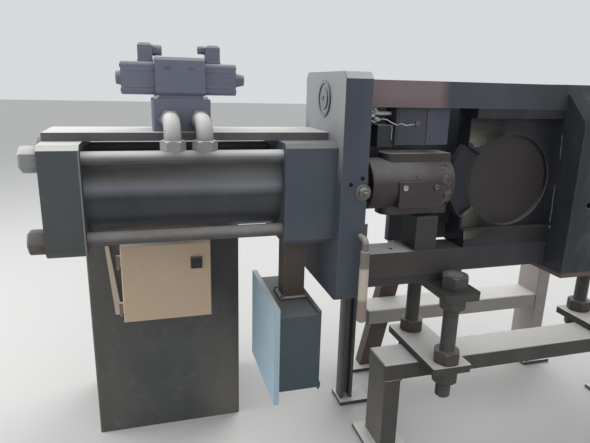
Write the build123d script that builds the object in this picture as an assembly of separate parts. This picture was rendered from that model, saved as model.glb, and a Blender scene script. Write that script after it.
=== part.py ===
"""Screen-change station of an extrusion line, in millimetres.

The origin is on the floor, under the middle of the table's front left post.
X runs along the hydraulic cylinder towards the screen housing, Y runs from the
operator's side to the back, and Z points up.  Y = 0 is the plane of the cylinder axis.
"""
import os
from math import cos, radians, sin, tan

from build123d import *

# Heights and the cylinder
AXIS_HEIGHT = 750.0
CAP_SIZE = 220.0
CAP_CHAMFER = 10.0
CAP_LENGTH = 74.0
HEAD_LENGTH = 116.0
BARREL_LENGTH = 400.0
BARREL_OD = 170.0
BARREL_BORE = 150.0
ROD_DIAMETER = 70.0
PISTON_LENGTH = 60.0
PISTON_START = 8.0
TIE_ROD_DIAMETER = 28.0
TIE_ROD_OFFSET = 81.0
TIE_NUT_FLATS = 50.0
TIE_NUT_LENGTH = 33.0
RUNNING_GAP = 0.05
STROKE = 300.0

# Crosshead, beams and rear wall
CROSSHEAD_LEFT = -208.0
CROSSHEAD_THICKNESS = 60.0
FRAME_DEPTH = 270.0
FRAME_ABOVE_BEAM = 1.0
EDGE_CHAMFER = 14.0
ROD_HOLE_GAP = 4.0
BAY_LENGTH = 572.0
BEAM_HEIGHT = 60.0
BEAM_FRONT = -50.0
BEAM_DEPTH = 80.0
TOP_STRIP_HEIGHT = 23.4
BOTTOM_STRIP_FLOOR = 6.4
SOLE_HEIGHT = 26.0
REAR_WALL_THICKNESS = 20.0
REAR_WINDOW_LENGTH = 185.0
REAR_WINDOW_TOP = -80.0
REAR_WALL_BOTTOM = -190.0
RING_PLUG_DIAMETER = 80.0
RING_PLUG_OFFSET = (-8.0, -45.0)
RING_PLUG_STANDOFF = 4.0
RING_GROOVE = (66.0, 48.0, 3.0)
RING_DIMPLE = (12.0, 2.5)

# Screen housing
HOUSING_LENGTH = 356.0
HOUSING_DEPTH = 240.0
HOUSING_CHAMFER = 90.0
HOUSING_ROUND = 40.0
PORT_DIAMETER = 200.0
PORT_BOLT_CIRCLE = 270.0
PORT_BOLT_COUNT = 8
PORT_BOLT_HOLE = 17.5
PORT_BOLT_DEPTH = 36.0

# Slide plate, its guides and its breaker plates
SLIDE_THICKNESS = 50.0
SLIDE_HEIGHT = 320.0
SLIDE_GAP = 0.6
SLIDE_LEFT_MARGIN = 16.5
SLIDE_RIGHT_MARGIN = 42.5
POCKET_DIAMETER = 235.0
POCKET_LEDGE_DIAMETER = 214.0
POCKET_DEPTH = 12.0
BREAKER_THICKNESS = 20.0
BREAKER_GAP = 0.2
GUIDE_LIP_HEIGHT = 38.0
GUIDE_REAR_LIP = 14.4

# Tongue that joins the slide plate to the coupling
TONGUE_THICKNESS = 26.0
TONGUE_NECK_HEIGHT = 64.0
TONGUE_NECK_REACH = 12.0
TONGUE_ROOT_HEIGHT = 184.0
TONGUE_END_HEIGHT = 140.0
TONGUE_SEAT_LENGTH = 39.0

# Coupling between the rod and the tongue
COUPLING_OD = 125.0
COUPLING_BORE = 96.0
COUPLING_NECK = 72.0
COUPLING_LENGTH = 215.0
COUPLING_LIP = 17.0
COUPLING_MOUTH = 103.0
COUPLING_RAIL_WIDTH = 62.0
COUPLING_RAIL_START = 40.0
COUPLING_RAIL_REACH = 75.0
COUPLING_RAIL_ROUND = 25.0
COUPLING_TO_PLATE = 51.0
COLLAR_GAP = 0.1
ROD_COLLAR_LENGTH = 40.0
TONGUE_COLLAR_LENGTH = 39.0
COUPLING_PAD_START = 65.0
COUPLING_PAD_LENGTH = 115.0
COUPLING_PAD_REACH = 67.0
COUPLING_PAD_ABOVE = 12.0
COUPLING_PAD_BELOW = 50.0

# Fixed pieces in the bay
GUIDE_BLOCK_LEFT = 34.0
GUIDE_BLOCK_SIZE = (58.0, 72.0, 86.0)
GUIDE_BLOCK_FRONT = -42.0
GUIDE_BLOCK_CHAMFER = 3.0
SWITCH_LEFT = -38.0
SWITCH_SIZE = (82.0, 60.0, 88.0)
SWITCH_BLOCK_LENGTH = 59.0
SWITCH_ROUND = 4.0
SWITCH_HEAD_SIZE = (40.0, 40.0, 53.0)
SWITCH_HEAD_DROP = 42.0
SWITCH_PIN_DIAMETER = 9.0
SWITCH_PIN_LENGTH = 42.0
SWITCH_PIN_DROP = 16.0

# Temperature probe on the crosshead
PROBE_X = -156.5
PROBE_BELOW_AXIS = 92.0
PROBE_REACH = 30.0
PROBE_TUBE = 14.0
PROBE_BEND = 12.0
PROBE_SLEEVE = 21.0
PROBE_SLEEVE_LENGTH = 166.0
PROBE_SLEEVE_CHAMFER = 1.5
PROBE_TUBE_DROP = 24.0

# Valve set on top of the cylinder
VALVE_BAR_FRONT = -42.0
VALVE_BAR_DEPTH = 142.0
VALVE_BAR_HEIGHT = 17.0
MANIFOLD_LEFT = -588.0
MANIFOLD_FRONT = -20.0
MANIFOLD_LENGTH = 121.0
MANIFOLD_DEPTH = 105.0
MANIFOLD_HEIGHT = 66.0
MANIFOLD_CHAMFER = 4.0
SPACER_SIZE = (86.0, 84.0, 7.0)
VALVE_LENGTH = 101.0
VALVE_DEPTH = 92.0
VALVE_HEIGHT = 77.0
VALVE_CHAMFER = 6.0
COIL_CENTRE = 34.0
COIL_ROUND = 9.0
LEFT_COIL = (68.0, 66.0)
RIGHT_COIL = (67.0, 65.0)
LEFT_KNOB = (30.0, 26.0, 11.0)
RIGHT_KNOB = (32.0, 22.0, 22.0)
PLUG_SIZE = (30.0, 32.0, 38.0)
PLUG_CHAMFER = 5.0
PLUG_SETBACK = 0.5
LEFT_PLUG_FROM_BODY = 18.0
RIGHT_PLUG_FROM_BODY = 20.5

# Hose elbows on the manifold's front
ELBOW_SPACING = 62.0
ELBOW_OFFSET = 6.5
ELBOW_PORT_HEIGHT = 24.0
ELBOW_DIAMETER = 34.0
ELBOW_REACH = 88.0
ELBOW_BEND = 40.0
ELBOW_DROP = 53.0
ELBOW_ROOT_FLATS = 40.0
ELBOW_NUT_FLATS = 44.0
ELBOW_NUT_LENGTH = 20.0
ELBOW_BORE = 20.0
ELBOW_BORE_DEPTH = 24.0

# Table frame
TUBE_WIDTH = 50.0
TUBE_DEPTH = 100.0
TUBE_WALL = 4.0
TUBE_ROUND = 5.0
TABLE_HEIGHT = 270.0
TABLE_LENGTH = 908.0
TABLE_SPACING = 320.0
REAR_RAIL_LEFT = 70.0
UPRIGHT_FROM_END = 161.0
UPRIGHT_TOP = -120.0
FOOT_LENGTH = 110.0
FOOT_DEPTH = 150.0
FOOT_THICKNESS = 12.0

# Levelling studs
STUD_DIAMETER = 38.0
STUD_SPACING = 190.0
STUD_FROM_POST = 124.0
STUD_NUT_FLATS = 62.0
STUD_NUT_HEIGHT = 34.0
STUD_TAIL = 48.0
STUD_END_CHAMFER = 5.0
UPPER_PLATE = (96.0, 290.0, 20.0)
UPPER_PLATE_CORNER = 8.0
LOWER_PLATE = (110.0, 260.0, 20.0)
LOWER_PLATE_CORNER = 4.0

# Brackets, rear leg and brace
BRACKET_HEIGHT = 90.0
BRACKET_TIP = 40.0
REAR_LEG_LEFT = -47.0
REAR_LEG_FRONT = 195.0
REAR_LEG_SIZE = (39.0, 40.0)
REAR_LEG_FLANGE = 9.0
REAR_LEG_WEB = 12.0
REAR_LEG_TOP = -150.0
REAR_LEG_FOOT = (100.0, 80.0)
REAR_LEG_FOOT_OFFSET = 24.0
LEG_BRACKET_HEIGHT = 60.0
LEG_BRACKET_PAD = 20.0
LEG_BRACKET_INSET = 8.0
BRACE_FOOT_X = 124.0
BRACE_LEAN = 12.0
BRACE_WIDTH = 65.0
BRACE_DEPTH = 40.0
BRACE_TOP = -120.0
BRACE_FOOT = (130.0, 90.0)
BRACE_BRACKET_WIDTH = 50.0
BRACE_BRACKET_HEIGHT = 70.0
BRACE_BRACKET_TIP = 40.0

# Column behind the cylinder
COLUMN_LEFT = -768.0
COLUMN_WIDTH = 400.0
COLUMN_DEPTH = 300.0
COLUMN_FRONT = 220.0
COLUMN_ABOVE_AXIS = 50.0
COLUMN_ROUND = 6.0
CARRIER_HEIGHT = 120.0
CARRIER_THICKNESS = 20.0
CARRIER_INSET = 12.0
CARRIER_ARM = 24.0
CARRIER_ARM_INSET = 30.0

# Control enclosure on the column
ENCLOSURE_LEFT = -677.0
ENCLOSURE_SIZE = (218.0, 112.0, 200.0)
ENCLOSURE_TOP = -161.0
ENCLOSURE_WALL = 2.5
DOOR_THICKNESS = 16.0
DOOR_GAP = 1.0
DOOR_ROUND = 3.0
HINGE_PIN = 6.0
HINGE_LUG = 10.0
HINGE_BOSS = 8.0
HINGE_HEIGHT = 28.0
HINGE_INSET = 24.0
HINGE_STEP = 0.3
HINGE_ARM = 8.0
HINGE_ARM_GAP = 1.0
HINGE_TAB = 24.0
LATCH_SIZE = (28.0, 7.0, 30.0)
LATCH_CHAMFER = 1.5
LATCH_FROM_RIGHT = 22.0
LATCH_FROM_TOP = 36.0
TRUNKING_TOP = (-715.0, -191.0)
TRUNKING_BOTTOM = (-696.0, -384.0)
TRUNKING_TOP_WIDTH = 10.0
TRUNKING_BOTTOM_WIDTH = 17.0
TRUNKING_THICKNESS = 8.0

# Junction box under the cylinder head
BOX_SIZE = (96.0, 250.0, 185.0)
BOX_LEFT = -338.0
BOX_FRONT = -140.0
BOX_TOP = -268.0
BOX_ROUND = 4.0
BOX_RIM = (8.0, 8.0)
COVER_THICKNESS = 12.0
COVER_OVERHANG_Y = 2.0
COVER_ABOVE = 21.0
COVER_BELOW = 32.0
BOX_POST = 51.0
BOX_POST_LEFT = -305.0
BOX_POST_FRONT = -40.0

# Places along X
HEAD_LEFT = CROSSHEAD_LEFT - HEAD_LENGTH
BARREL_LEFT = HEAD_LEFT - BARREL_LENGTH
CAP_LEFT = BARREL_LEFT - CAP_LENGTH
CROSSHEAD_RIGHT = CROSSHEAD_LEFT + CROSSHEAD_THICKNESS
HOUSING_LEFT = CROSSHEAD_RIGHT + BAY_LENGTH
HOUSING_RIGHT = HOUSING_LEFT + HOUSING_LENGTH
FLOW_X = (HOUSING_LEFT + HOUSING_RIGHT) / 2
OPEN_POCKET_X = FLOW_X - STROKE
SLIDE_LEFT = OPEN_POCKET_X - POCKET_DIAMETER / 2 - SLIDE_LEFT_MARGIN
SLIDE_RIGHT = FLOW_X + POCKET_DIAMETER / 2 + SLIDE_RIGHT_MARGIN
COUPLING_RIGHT = SLIDE_LEFT - COUPLING_TO_PLATE
COUPLING_LEFT = COUPLING_RIGHT - COUPLING_LENGTH
TONGUE_COLLAR_RIGHT = COUPLING_RIGHT - COUPLING_LIP
ROD_END = TONGUE_COLLAR_RIGHT - TONGUE_COLLAR_LENGTH
RAIL_RIGHT = TABLE_LENGTH - TUBE_WIDTH / 2
UPRIGHT_LEFT = RAIL_RIGHT - UPRIGHT_FROM_END

# Places along Y and Z
FRAME_BACK = FRAME_DEPTH / 2
HOUSING_BACK = HOUSING_DEPTH / 2
BEAM_BACK = BEAM_FRONT + BEAM_DEPTH
SLIDE_HALF = SLIDE_HEIGHT / 2
SLOT_HALF = SLIDE_THICKNESS / 2 + SLIDE_GAP
TOP_BEAM_BOTTOM = AXIS_HEIGHT + SLIDE_HALF + SLIDE_GAP + TOP_STRIP_HEIGHT
TOP_BEAM_TOP = TOP_BEAM_BOTTOM + BEAM_HEIGHT
BOTTOM_BEAM_TOP = AXIS_HEIGHT - SLIDE_HALF - SLIDE_GAP - BOTTOM_STRIP_FLOOR
BOTTOM_BEAM_BOTTOM = BOTTOM_BEAM_TOP - BEAM_HEIGHT
SOLE_BOTTOM = BOTTOM_BEAM_BOTTOM - SOLE_HEIGHT
FRAME_TOP = TOP_BEAM_TOP + FRAME_ABOVE_BEAM
FRAME_BOTTOM = 2 * AXIS_HEIGHT - FRAME_TOP
RAIL_FRONT = TABLE_SPACING - TUBE_DEPTH / 2
RAIL_BACK = TABLE_SPACING + TUBE_DEPTH / 2


def block(x0, x1, y0, y1, z0, z1):
    """A box between two corners."""
    size = (abs(x1 - x0), abs(y1 - y0), abs(z1 - z0))
    middle = ((x0 + x1) / 2, (y0 + y1) / 2, (z0 + z1) / 2)
    return Pos(*middle) * Box(*size)


def round_x(x0, x1, y, z, diameter):
    """A round bar along X."""
    bar = Cylinder(diameter / 2, x1 - x0, rotation=(0, 90, 0))
    return Pos((x0 + x1) / 2, y, z) * bar


def round_y(x, y0, y1, z, diameter):
    """A round bar along Y."""
    bar = Cylinder(diameter / 2, y1 - y0, rotation=(90, 0, 0))
    return Pos(x, (y0 + y1) / 2, z) * bar


def round_z(x, y, z0, z1, diameter):
    """A round bar along Z."""
    return Pos(x, y, (z0 + z1) / 2) * Cylinder(diameter / 2, z1 - z0)


def cone_x(x0, x1, y, z, diameter_0, diameter_1):
    """A tapered bar along X."""
    bar = Cone(diameter_0 / 2, diameter_1 / 2, x1 - x0, rotation=(0, 90, 0))
    return Pos((x0 + x1) / 2, y, z) * bar


def profile_x(points, x0, x1):
    """An outline of (y, z) points pushed along X."""
    plane = Plane(origin=(x0, 0, 0), x_dir=(0, 1, 0), z_dir=(1, 0, 0))
    return extrude(plane * Polygon(*points, align=None), x1 - x0, dir=(1, 0, 0))


def profile_y(points, y0, y1):
    """An outline of (x, z) points pushed along Y."""
    plane = Plane(origin=(0, y0, 0), x_dir=(1, 0, 0), z_dir=(0, -1, 0))
    return extrude(plane * Polygon(*points, align=None), y1 - y0, dir=(0, 1, 0))


def hexagon(flats, length):
    """A hexagonal prism along Z with its corners chamfered as on a nut."""
    corner_radius = flats / 2 / cos(radians(30))
    prism = extrude(RegularPolygon(corner_radius, 6), length)
    crown = Pos(0, 0, length / 2) * Cylinder(corner_radius * 0.985, length)
    crown = chamfer(crown.edges().filter_by(GeomType.CIRCLE), corner_radius * 0.1)
    return prism & crown


def tube_bar(x0, x1, y0, y1, z0, z1, along):
    """A rectangular tube with open ends and rounded edges along one axis."""
    wall = TUBE_WALL
    inner = {
        "X": (x0 - 1, x1 + 1, y0 + wall, y1 - wall, z0 + wall, z1 - wall),
        "Z": (x0 + wall, x1 - wall, y0 + wall, y1 - wall, z0 - 1, z1 + 1),
    }[along]
    direction = {"X": Axis.X, "Z": Axis.Z}[along]
    outer = block(x0, x1, y0, y1, z0, z1)
    outer = fillet(outer.edges().filter_by(direction), TUBE_ROUND)
    return outer - block(*inner)


def bent_tube(corners, bend, diameter):
    """A round bar that follows a bent route, starting square to its first stretch."""
    route = FilletPolyline(*corners, radius=bend)
    start = Vector(*corners[0])
    heading = Vector(*corners[1]) - start
    return sweep(Plane(origin=start, z_dir=heading) * Circle(diameter / 2), path=route)


def save(name, *solids):
    """Write one node as a STEP file."""
    shape = solids[0] if len(solids) == 1 else Compound(children=list(solids))
    export_step(shape, f"parts/{name}.step")


def cylinder_group():
    """End cap, barrel, head, tie rods and their nuts."""
    half = CAP_SIZE / 2
    top = AXIS_HEIGHT + half
    bottom = AXIS_HEIGHT - half

    cap = block(CAP_LEFT, BARREL_LEFT, -half, half, bottom, top)
    cap = chamfer(cap.edges().filter_by(Axis.X), CAP_CHAMFER)
    head = block(HEAD_LEFT, CROSSHEAD_LEFT, -half, half, bottom, top)
    head = chamfer(head.edges().filter_by(Axis.X), CAP_CHAMFER)
    head -= round_x(HEAD_LEFT - 1, CROSSHEAD_LEFT + 1, 0, AXIS_HEIGHT, ROD_DIAMETER + 2 * RUNNING_GAP)

    rods = []
    nuts = []
    for side_y in (-1, 1):
        for side_z in (-1, 1):
            y = side_y * TIE_ROD_OFFSET
            z = AXIS_HEIGHT + side_z * TIE_ROD_OFFSET
            cap -= round_x(CAP_LEFT - 1, BARREL_LEFT + 1, y, z, TIE_ROD_DIAMETER)
            rods.append(round_x(CAP_LEFT, HEAD_LEFT, y, z, TIE_ROD_DIAMETER))
            nuts.append(Pos(CAP_LEFT, y, z) * Rot(0, -90, 0) * hexagon(TIE_NUT_FLATS, TIE_NUT_LENGTH))
    save("end_cap", cap)
    save("head", head)
    save("tie_rods", *rods)
    save("tie_rod_nuts", *nuts)

    barrel = round_x(BARREL_LEFT, HEAD_LEFT, 0, AXIS_HEIGHT, BARREL_OD)
    barrel -= round_x(BARREL_LEFT - 1, HEAD_LEFT + 1, 0, AXIS_HEIGHT, BARREL_BORE)
    save("barrel", barrel)


def coil_solid(x0, x1, y, z, size):
    """A square solenoid coil along X with rounded edges."""
    half = size / 2
    coil = block(x0, x1, y - half, y + half, z - half, z + half)
    return fillet(coil.edges().filter_by(Axis.X), COIL_ROUND)


def valve_group():
    """Valve bar, manifold, elbows, valve body, solenoids and their plugs."""
    bar_bottom = AXIS_HEIGHT + CAP_SIZE / 2
    bar_top = bar_bottom + VALVE_BAR_HEIGHT
    save("valve_bar", block(CAP_LEFT, CROSSHEAD_LEFT, VALVE_BAR_FRONT, VALVE_BAR_FRONT + VALVE_BAR_DEPTH,
                            bar_bottom, bar_top))

    manifold_right = MANIFOLD_LEFT + MANIFOLD_LENGTH
    manifold_back = MANIFOLD_FRONT + MANIFOLD_DEPTH
    manifold_top = bar_top + MANIFOLD_HEIGHT
    manifold = block(MANIFOLD_LEFT, manifold_right, MANIFOLD_FRONT, manifold_back, bar_top, manifold_top)
    manifold = chamfer(manifold.edges().filter_by(Axis.Z), MANIFOLD_CHAMFER)
    save("manifold", manifold)

    middle_x = (MANIFOLD_LEFT + manifold_right) / 2
    middle_y = (MANIFOLD_FRONT + manifold_back) / 2
    port_z = bar_top + ELBOW_PORT_HEIGHT
    elbow_y = MANIFOLD_FRONT - ELBOW_REACH
    outlet_z = port_z - ELBOW_DROP
    for name, side in (("left_hose_elbow", -1), ("right_hose_elbow", 1)):
        x = middle_x + ELBOW_OFFSET + side * ELBOW_SPACING / 2
        corners = ((x, MANIFOLD_FRONT, port_z), (x, elbow_y, port_z), (x, elbow_y, outlet_z))
        elbow = bent_tube(corners, ELBOW_BEND, ELBOW_DIAMETER)
        elbow += Pos(x, MANIFOLD_FRONT, port_z) * Rot(90, 0, 0) * hexagon(ELBOW_ROOT_FLATS, ELBOW_NUT_LENGTH)
        elbow += Pos(x, elbow_y, outlet_z) * hexagon(ELBOW_NUT_FLATS, ELBOW_NUT_LENGTH)
        elbow -= round_z(x, elbow_y, outlet_z - 1, outlet_z + ELBOW_BORE_DEPTH, ELBOW_BORE)
        save(name, elbow)

    spacer_length, spacer_depth, spacer_height = SPACER_SIZE
    spacer_top = manifold_top + spacer_height
    valve_left = middle_x - VALVE_LENGTH / 2
    valve_right = middle_x + VALVE_LENGTH / 2
    valve_front = middle_y - VALVE_DEPTH / 2
    valve_back = middle_y + VALVE_DEPTH / 2
    save("valve_spacer", block(middle_x - spacer_length / 2, middle_x + spacer_length / 2,
                               middle_y - spacer_depth / 2, middle_y + spacer_depth / 2, manifold_top,
                               spacer_top))
    body = block(valve_left, valve_right, valve_front, valve_back, spacer_top, spacer_top + VALVE_HEIGHT)
    save("valve_body", chamfer(body.edges().filter_by(Axis.X), VALVE_CHAMFER))

    coil_z = spacer_top + COIL_CENTRE
    left_length, left_size = LEFT_COIL
    right_length, right_size = RIGHT_COIL
    knob_wide, knob_narrow, knob_length = LEFT_KNOB
    end = valve_left - left_length
    coil = coil_solid(end, valve_left, middle_y, coil_z, left_size)
    coil += cone_x(end - knob_length, end, middle_y, coil_z, knob_narrow, knob_wide)
    save("left_solenoid", coil)
    knob_wide, knob_narrow, knob_length = RIGHT_KNOB
    end = valve_right + right_length
    coil = coil_solid(valve_right, end, middle_y, coil_z, right_size)
    coil += cone_x(end, end + knob_length, middle_y, coil_z, knob_wide, knob_narrow)
    save("right_solenoid", coil)

    width, depth, height = PLUG_SIZE
    plug_y = middle_y + PLUG_SETBACK
    places = (
        ("left_cable_plug", valve_left - LEFT_PLUG_FROM_BODY, coil_z + left_size / 2),
        ("right_cable_plug", valve_right + RIGHT_PLUG_FROM_BODY, coil_z + right_size / 2),
    )
    for name, x, bottom in places:
        plug = block(x - width / 2, x + width / 2, plug_y - depth / 2, plug_y + depth / 2, bottom,
                     bottom + height)
        save(name, chamfer(plug.edges().group_by(Axis.Z)[-1], PLUG_CHAMFER))


def frame_group():
    """Crosshead, ring plug, beams, sole plate, rear wall and guide strips."""
    crosshead = block(CROSSHEAD_LEFT, CROSSHEAD_RIGHT, -FRAME_BACK, FRAME_BACK, FRAME_BOTTOM, FRAME_TOP)
    crosshead = chamfer(crosshead.edges().filter_by(Axis.X), EDGE_CHAMFER)
    crosshead -= round_x(CROSSHEAD_LEFT - 1, CROSSHEAD_RIGHT + 1, 0, AXIS_HEIGHT,
                         ROD_DIAMETER + 2 * ROD_HOLE_GAP)
    save("crosshead", crosshead)

    plug_y, plug_z = RING_PLUG_OFFSET
    plug_z += FRAME_TOP
    outer, inner, depth = RING_GROOVE
    dimple, dimple_depth = RING_DIMPLE
    face = CROSSHEAD_LEFT - RING_PLUG_STANDOFF
    plug = round_x(face, CROSSHEAD_LEFT, plug_y, plug_z, RING_PLUG_DIAMETER)
    groove = round_x(face - 1, face + depth, plug_y, plug_z, outer)
    groove -= round_x(face - 1, face + depth, plug_y, plug_z, inner)
    plug -= groove
    plug -= round_x(face - 1, face + dimple_depth, plug_y, plug_z, dimple)
    save("ring_plug", plug)

    save("top_beam", block(CROSSHEAD_RIGHT, HOUSING_LEFT, BEAM_FRONT, BEAM_BACK, TOP_BEAM_BOTTOM,
                           TOP_BEAM_TOP))
    save("bottom_beam", block(CROSSHEAD_RIGHT, HOUSING_LEFT, BEAM_FRONT, BEAM_BACK, BOTTOM_BEAM_BOTTOM,
                              BOTTOM_BEAM_TOP))
    save("sole_plate", block(CROSSHEAD_RIGHT, STUD_FROM_POST + UPPER_PLATE[0] / 2, BEAM_FRONT, BEAM_BACK,
                             SOLE_BOTTOM, BOTTOM_BEAM_BOTTOM))

    wall_y = FRAME_BACK - REAR_WALL_THICKNESS
    window_top = AXIS_HEIGHT + REAR_WINDOW_TOP
    window_right = CROSSHEAD_RIGHT + REAR_WINDOW_LENGTH
    save("rear_wall_upper", block(CROSSHEAD_RIGHT, HOUSING_LEFT, wall_y, FRAME_BACK, window_top, FRAME_TOP))
    save("rear_wall_lower", block(window_right, HOUSING_LEFT, wall_y, FRAME_BACK,
                                  AXIS_HEIGHT + REAR_WALL_BOTTOM, window_top))

    save("top_guide_strip", block(SLIDE_LEFT, HOUSING_LEFT, BEAM_FRONT, BEAM_BACK,
                                  TOP_BEAM_BOTTOM - TOP_STRIP_HEIGHT, TOP_BEAM_BOTTOM))
    floor = BOTTOM_BEAM_TOP + BOTTOM_STRIP_FLOOR
    lip = floor + SLIDE_GAP + GUIDE_LIP_HEIGHT
    rear_lip = SLOT_HALF + GUIDE_REAR_LIP
    channel = (
        (BEAM_FRONT, BOTTOM_BEAM_TOP), (rear_lip, BOTTOM_BEAM_TOP), (rear_lip, lip), (SLOT_HALF, lip),
        (SLOT_HALF, floor), (-SLOT_HALF, floor), (-SLOT_HALF, lip), (BEAM_FRONT, lip),
    )
    save("bottom_guide_strip", profile_x(channel, SLIDE_LEFT, HOUSING_LEFT))


def housing_group():
    """The four blocks of the screen housing, with the melt bores and their bolt holes."""
    for name, side in (("housing_front", -1), ("housing_back", 1)):
        face = side * HOUSING_BACK
        shoulder = side * (HOUSING_BACK - HOUSING_CHAMFER)
        inner = side * SLOT_HALF
        outline = [
            (inner, FRAME_BOTTOM), (face, FRAME_BOTTOM), (face, FRAME_TOP - HOUSING_CHAMFER),
            (shoulder, FRAME_TOP), (inner, FRAME_TOP),
        ]
        wall = profile_x(outline, HOUSING_LEFT, HOUSING_RIGHT)
        outer_edges = wall.edges().filter_by(Axis.X).sort_by_distance(
            (FLOW_X, face, FRAME_TOP - HOUSING_CHAMFER))
        wall = fillet(outer_edges[0], HOUSING_ROUND)
        wall -= round_y(FLOW_X, -FRAME_DEPTH, FRAME_DEPTH, AXIS_HEIGHT, PORT_DIAMETER)
        hole_start, hole_end = sorted((face, face - side * PORT_BOLT_DEPTH))
        for step in range(PORT_BOLT_COUNT):
            angle = radians(360 / PORT_BOLT_COUNT * (step + 0.5))
            x = FLOW_X + PORT_BOLT_CIRCLE / 2 * cos(angle)
            z = AXIS_HEIGHT + PORT_BOLT_CIRCLE / 2 * sin(angle)
            wall -= round_y(x, hole_start, hole_end, z, PORT_BOLT_HOLE)
        save(name, wall)
    save("housing_top", block(HOUSING_LEFT, HOUSING_RIGHT, -SLOT_HALF, SLOT_HALF,
                              AXIS_HEIGHT + SLIDE_HALF + SLIDE_GAP, FRAME_TOP))
    save("housing_bottom", block(HOUSING_LEFT, HOUSING_RIGHT, -SLOT_HALF, SLOT_HALF, FRAME_BOTTOM,
                                 AXIS_HEIGHT - SLIDE_HALF - SLIDE_GAP))


def rod_and_coupling():
    """The piston with its rod and end collar, and the two halves of the coupling."""
    piston_left = BARREL_LEFT + PISTON_START
    collar_left = ROD_END - ROD_COLLAR_LENGTH
    collar = COUPLING_BORE - 2 * COLLAR_GAP
    rod = round_x(piston_left, piston_left + PISTON_LENGTH, 0, AXIS_HEIGHT, BARREL_BORE - 2 * RUNNING_GAP)
    rod += round_x(piston_left, ROD_END, 0, AXIS_HEIGHT, ROD_DIAMETER)
    rod += round_x(collar_left, ROD_END, 0, AXIS_HEIGHT, collar)
    save("piston_rod", rod)

    shell = round_x(COUPLING_LEFT, COUPLING_RIGHT, 0, AXIS_HEIGHT, COUPLING_OD)
    pad_left = COUPLING_LEFT + COUPLING_PAD_START
    shell += block(pad_left, pad_left + COUPLING_PAD_LENGTH, -COUPLING_PAD_REACH, COUPLING_PAD_REACH,
                   AXIS_HEIGHT - COUPLING_PAD_BELOW, AXIS_HEIGHT + COUPLING_PAD_ABOVE)
    half_rail = COUPLING_RAIL_WIDTH / 2
    rail = block(COUPLING_LEFT + COUPLING_RAIL_START, COUPLING_RIGHT, -half_rail, half_rail,
                 AXIS_HEIGHT - COUPLING_RAIL_REACH, AXIS_HEIGHT + COUPLING_RAIL_REACH)
    shell += fillet(rail.edges().filter_by(Axis.Z).group_by(Axis.X)[0], COUPLING_RAIL_ROUND)
    shell -= round_x(COUPLING_LEFT - 1, COUPLING_LEFT + COUPLING_MOUTH, 0, AXIS_HEIGHT, COUPLING_BORE)
    shell -= round_x(COUPLING_LEFT, COUPLING_RIGHT + 1, 0, AXIS_HEIGHT, COUPLING_NECK)
    shell -= round_x(collar_left - COLLAR_GAP, TONGUE_COLLAR_RIGHT, 0, AXIS_HEIGHT, COUPLING_BORE)
    reach = COUPLING_OD
    above = block(COUPLING_LEFT - 1, COUPLING_RIGHT + 1, -reach, reach, AXIS_HEIGHT, AXIS_HEIGHT + reach)
    below = block(COUPLING_LEFT - 1, COUPLING_RIGHT + 1, -reach, reach, AXIS_HEIGHT - reach, AXIS_HEIGHT)
    save("coupling_upper", shell & above)
    save("coupling_lower", shell & below)


def slide_group():
    """The slide plate with its tongue and collar, and the two breaker plates."""
    half_thick = SLIDE_THICKNESS / 2
    half_tongue = TONGUE_THICKNESS / 2
    neck = TONGUE_NECK_HEIGHT / 2
    root = TONGUE_ROOT_HEIGHT / 2
    end = TONGUE_END_HEIGHT / 2
    z = AXIS_HEIGHT
    seat_right = SLIDE_LEFT + TONGUE_SEAT_LENGTH
    neck_right = COUPLING_RIGHT + TONGUE_NECK_REACH
    plate = block(SLIDE_LEFT, SLIDE_RIGHT, -half_thick, half_thick, z - SLIDE_HALF, z + SLIDE_HALF)
    seat = (
        (SLIDE_LEFT - 1, z - root), (SLIDE_LEFT, z - root), (seat_right, z - end),
        (seat_right, z + end), (SLIDE_LEFT, z + root), (SLIDE_LEFT - 1, z + root),
    )
    plate -= profile_y(seat, -half_thick - 1, -half_tongue)
    tongue = (
        (TONGUE_COLLAR_RIGHT, z - neck), (neck_right, z - neck), (SLIDE_LEFT, z - root),
        (seat_right, z - end), (seat_right, z + end), (SLIDE_LEFT, z + root), (neck_right, z + neck),
        (TONGUE_COLLAR_RIGHT, z + neck),
    )
    plate += profile_y(tongue, -half_tongue, half_tongue)
    plate += round_x(ROD_END, TONGUE_COLLAR_RIGHT, 0, z, COUPLING_BORE - 2 * COLLAR_GAP)
    ledge_y = -half_thick + POCKET_DEPTH + BREAKER_THICKNESS
    for x in (OPEN_POCKET_X, FLOW_X):
        plate -= round_y(x, -half_thick - 1, ledge_y, z, POCKET_DIAMETER)
        plate -= round_y(x, ledge_y - 1, half_thick + 1, z, POCKET_LEDGE_DIAMETER)
    save("slide_plate", plate)
    for name, x in (("open_breaker_plate", OPEN_POCKET_X), ("working_breaker_plate", FLOW_X)):
        save(name, round_y(x, -half_thick + POCKET_DEPTH, ledge_y, z, POCKET_DIAMETER - 2 * BREAKER_GAP))


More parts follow.
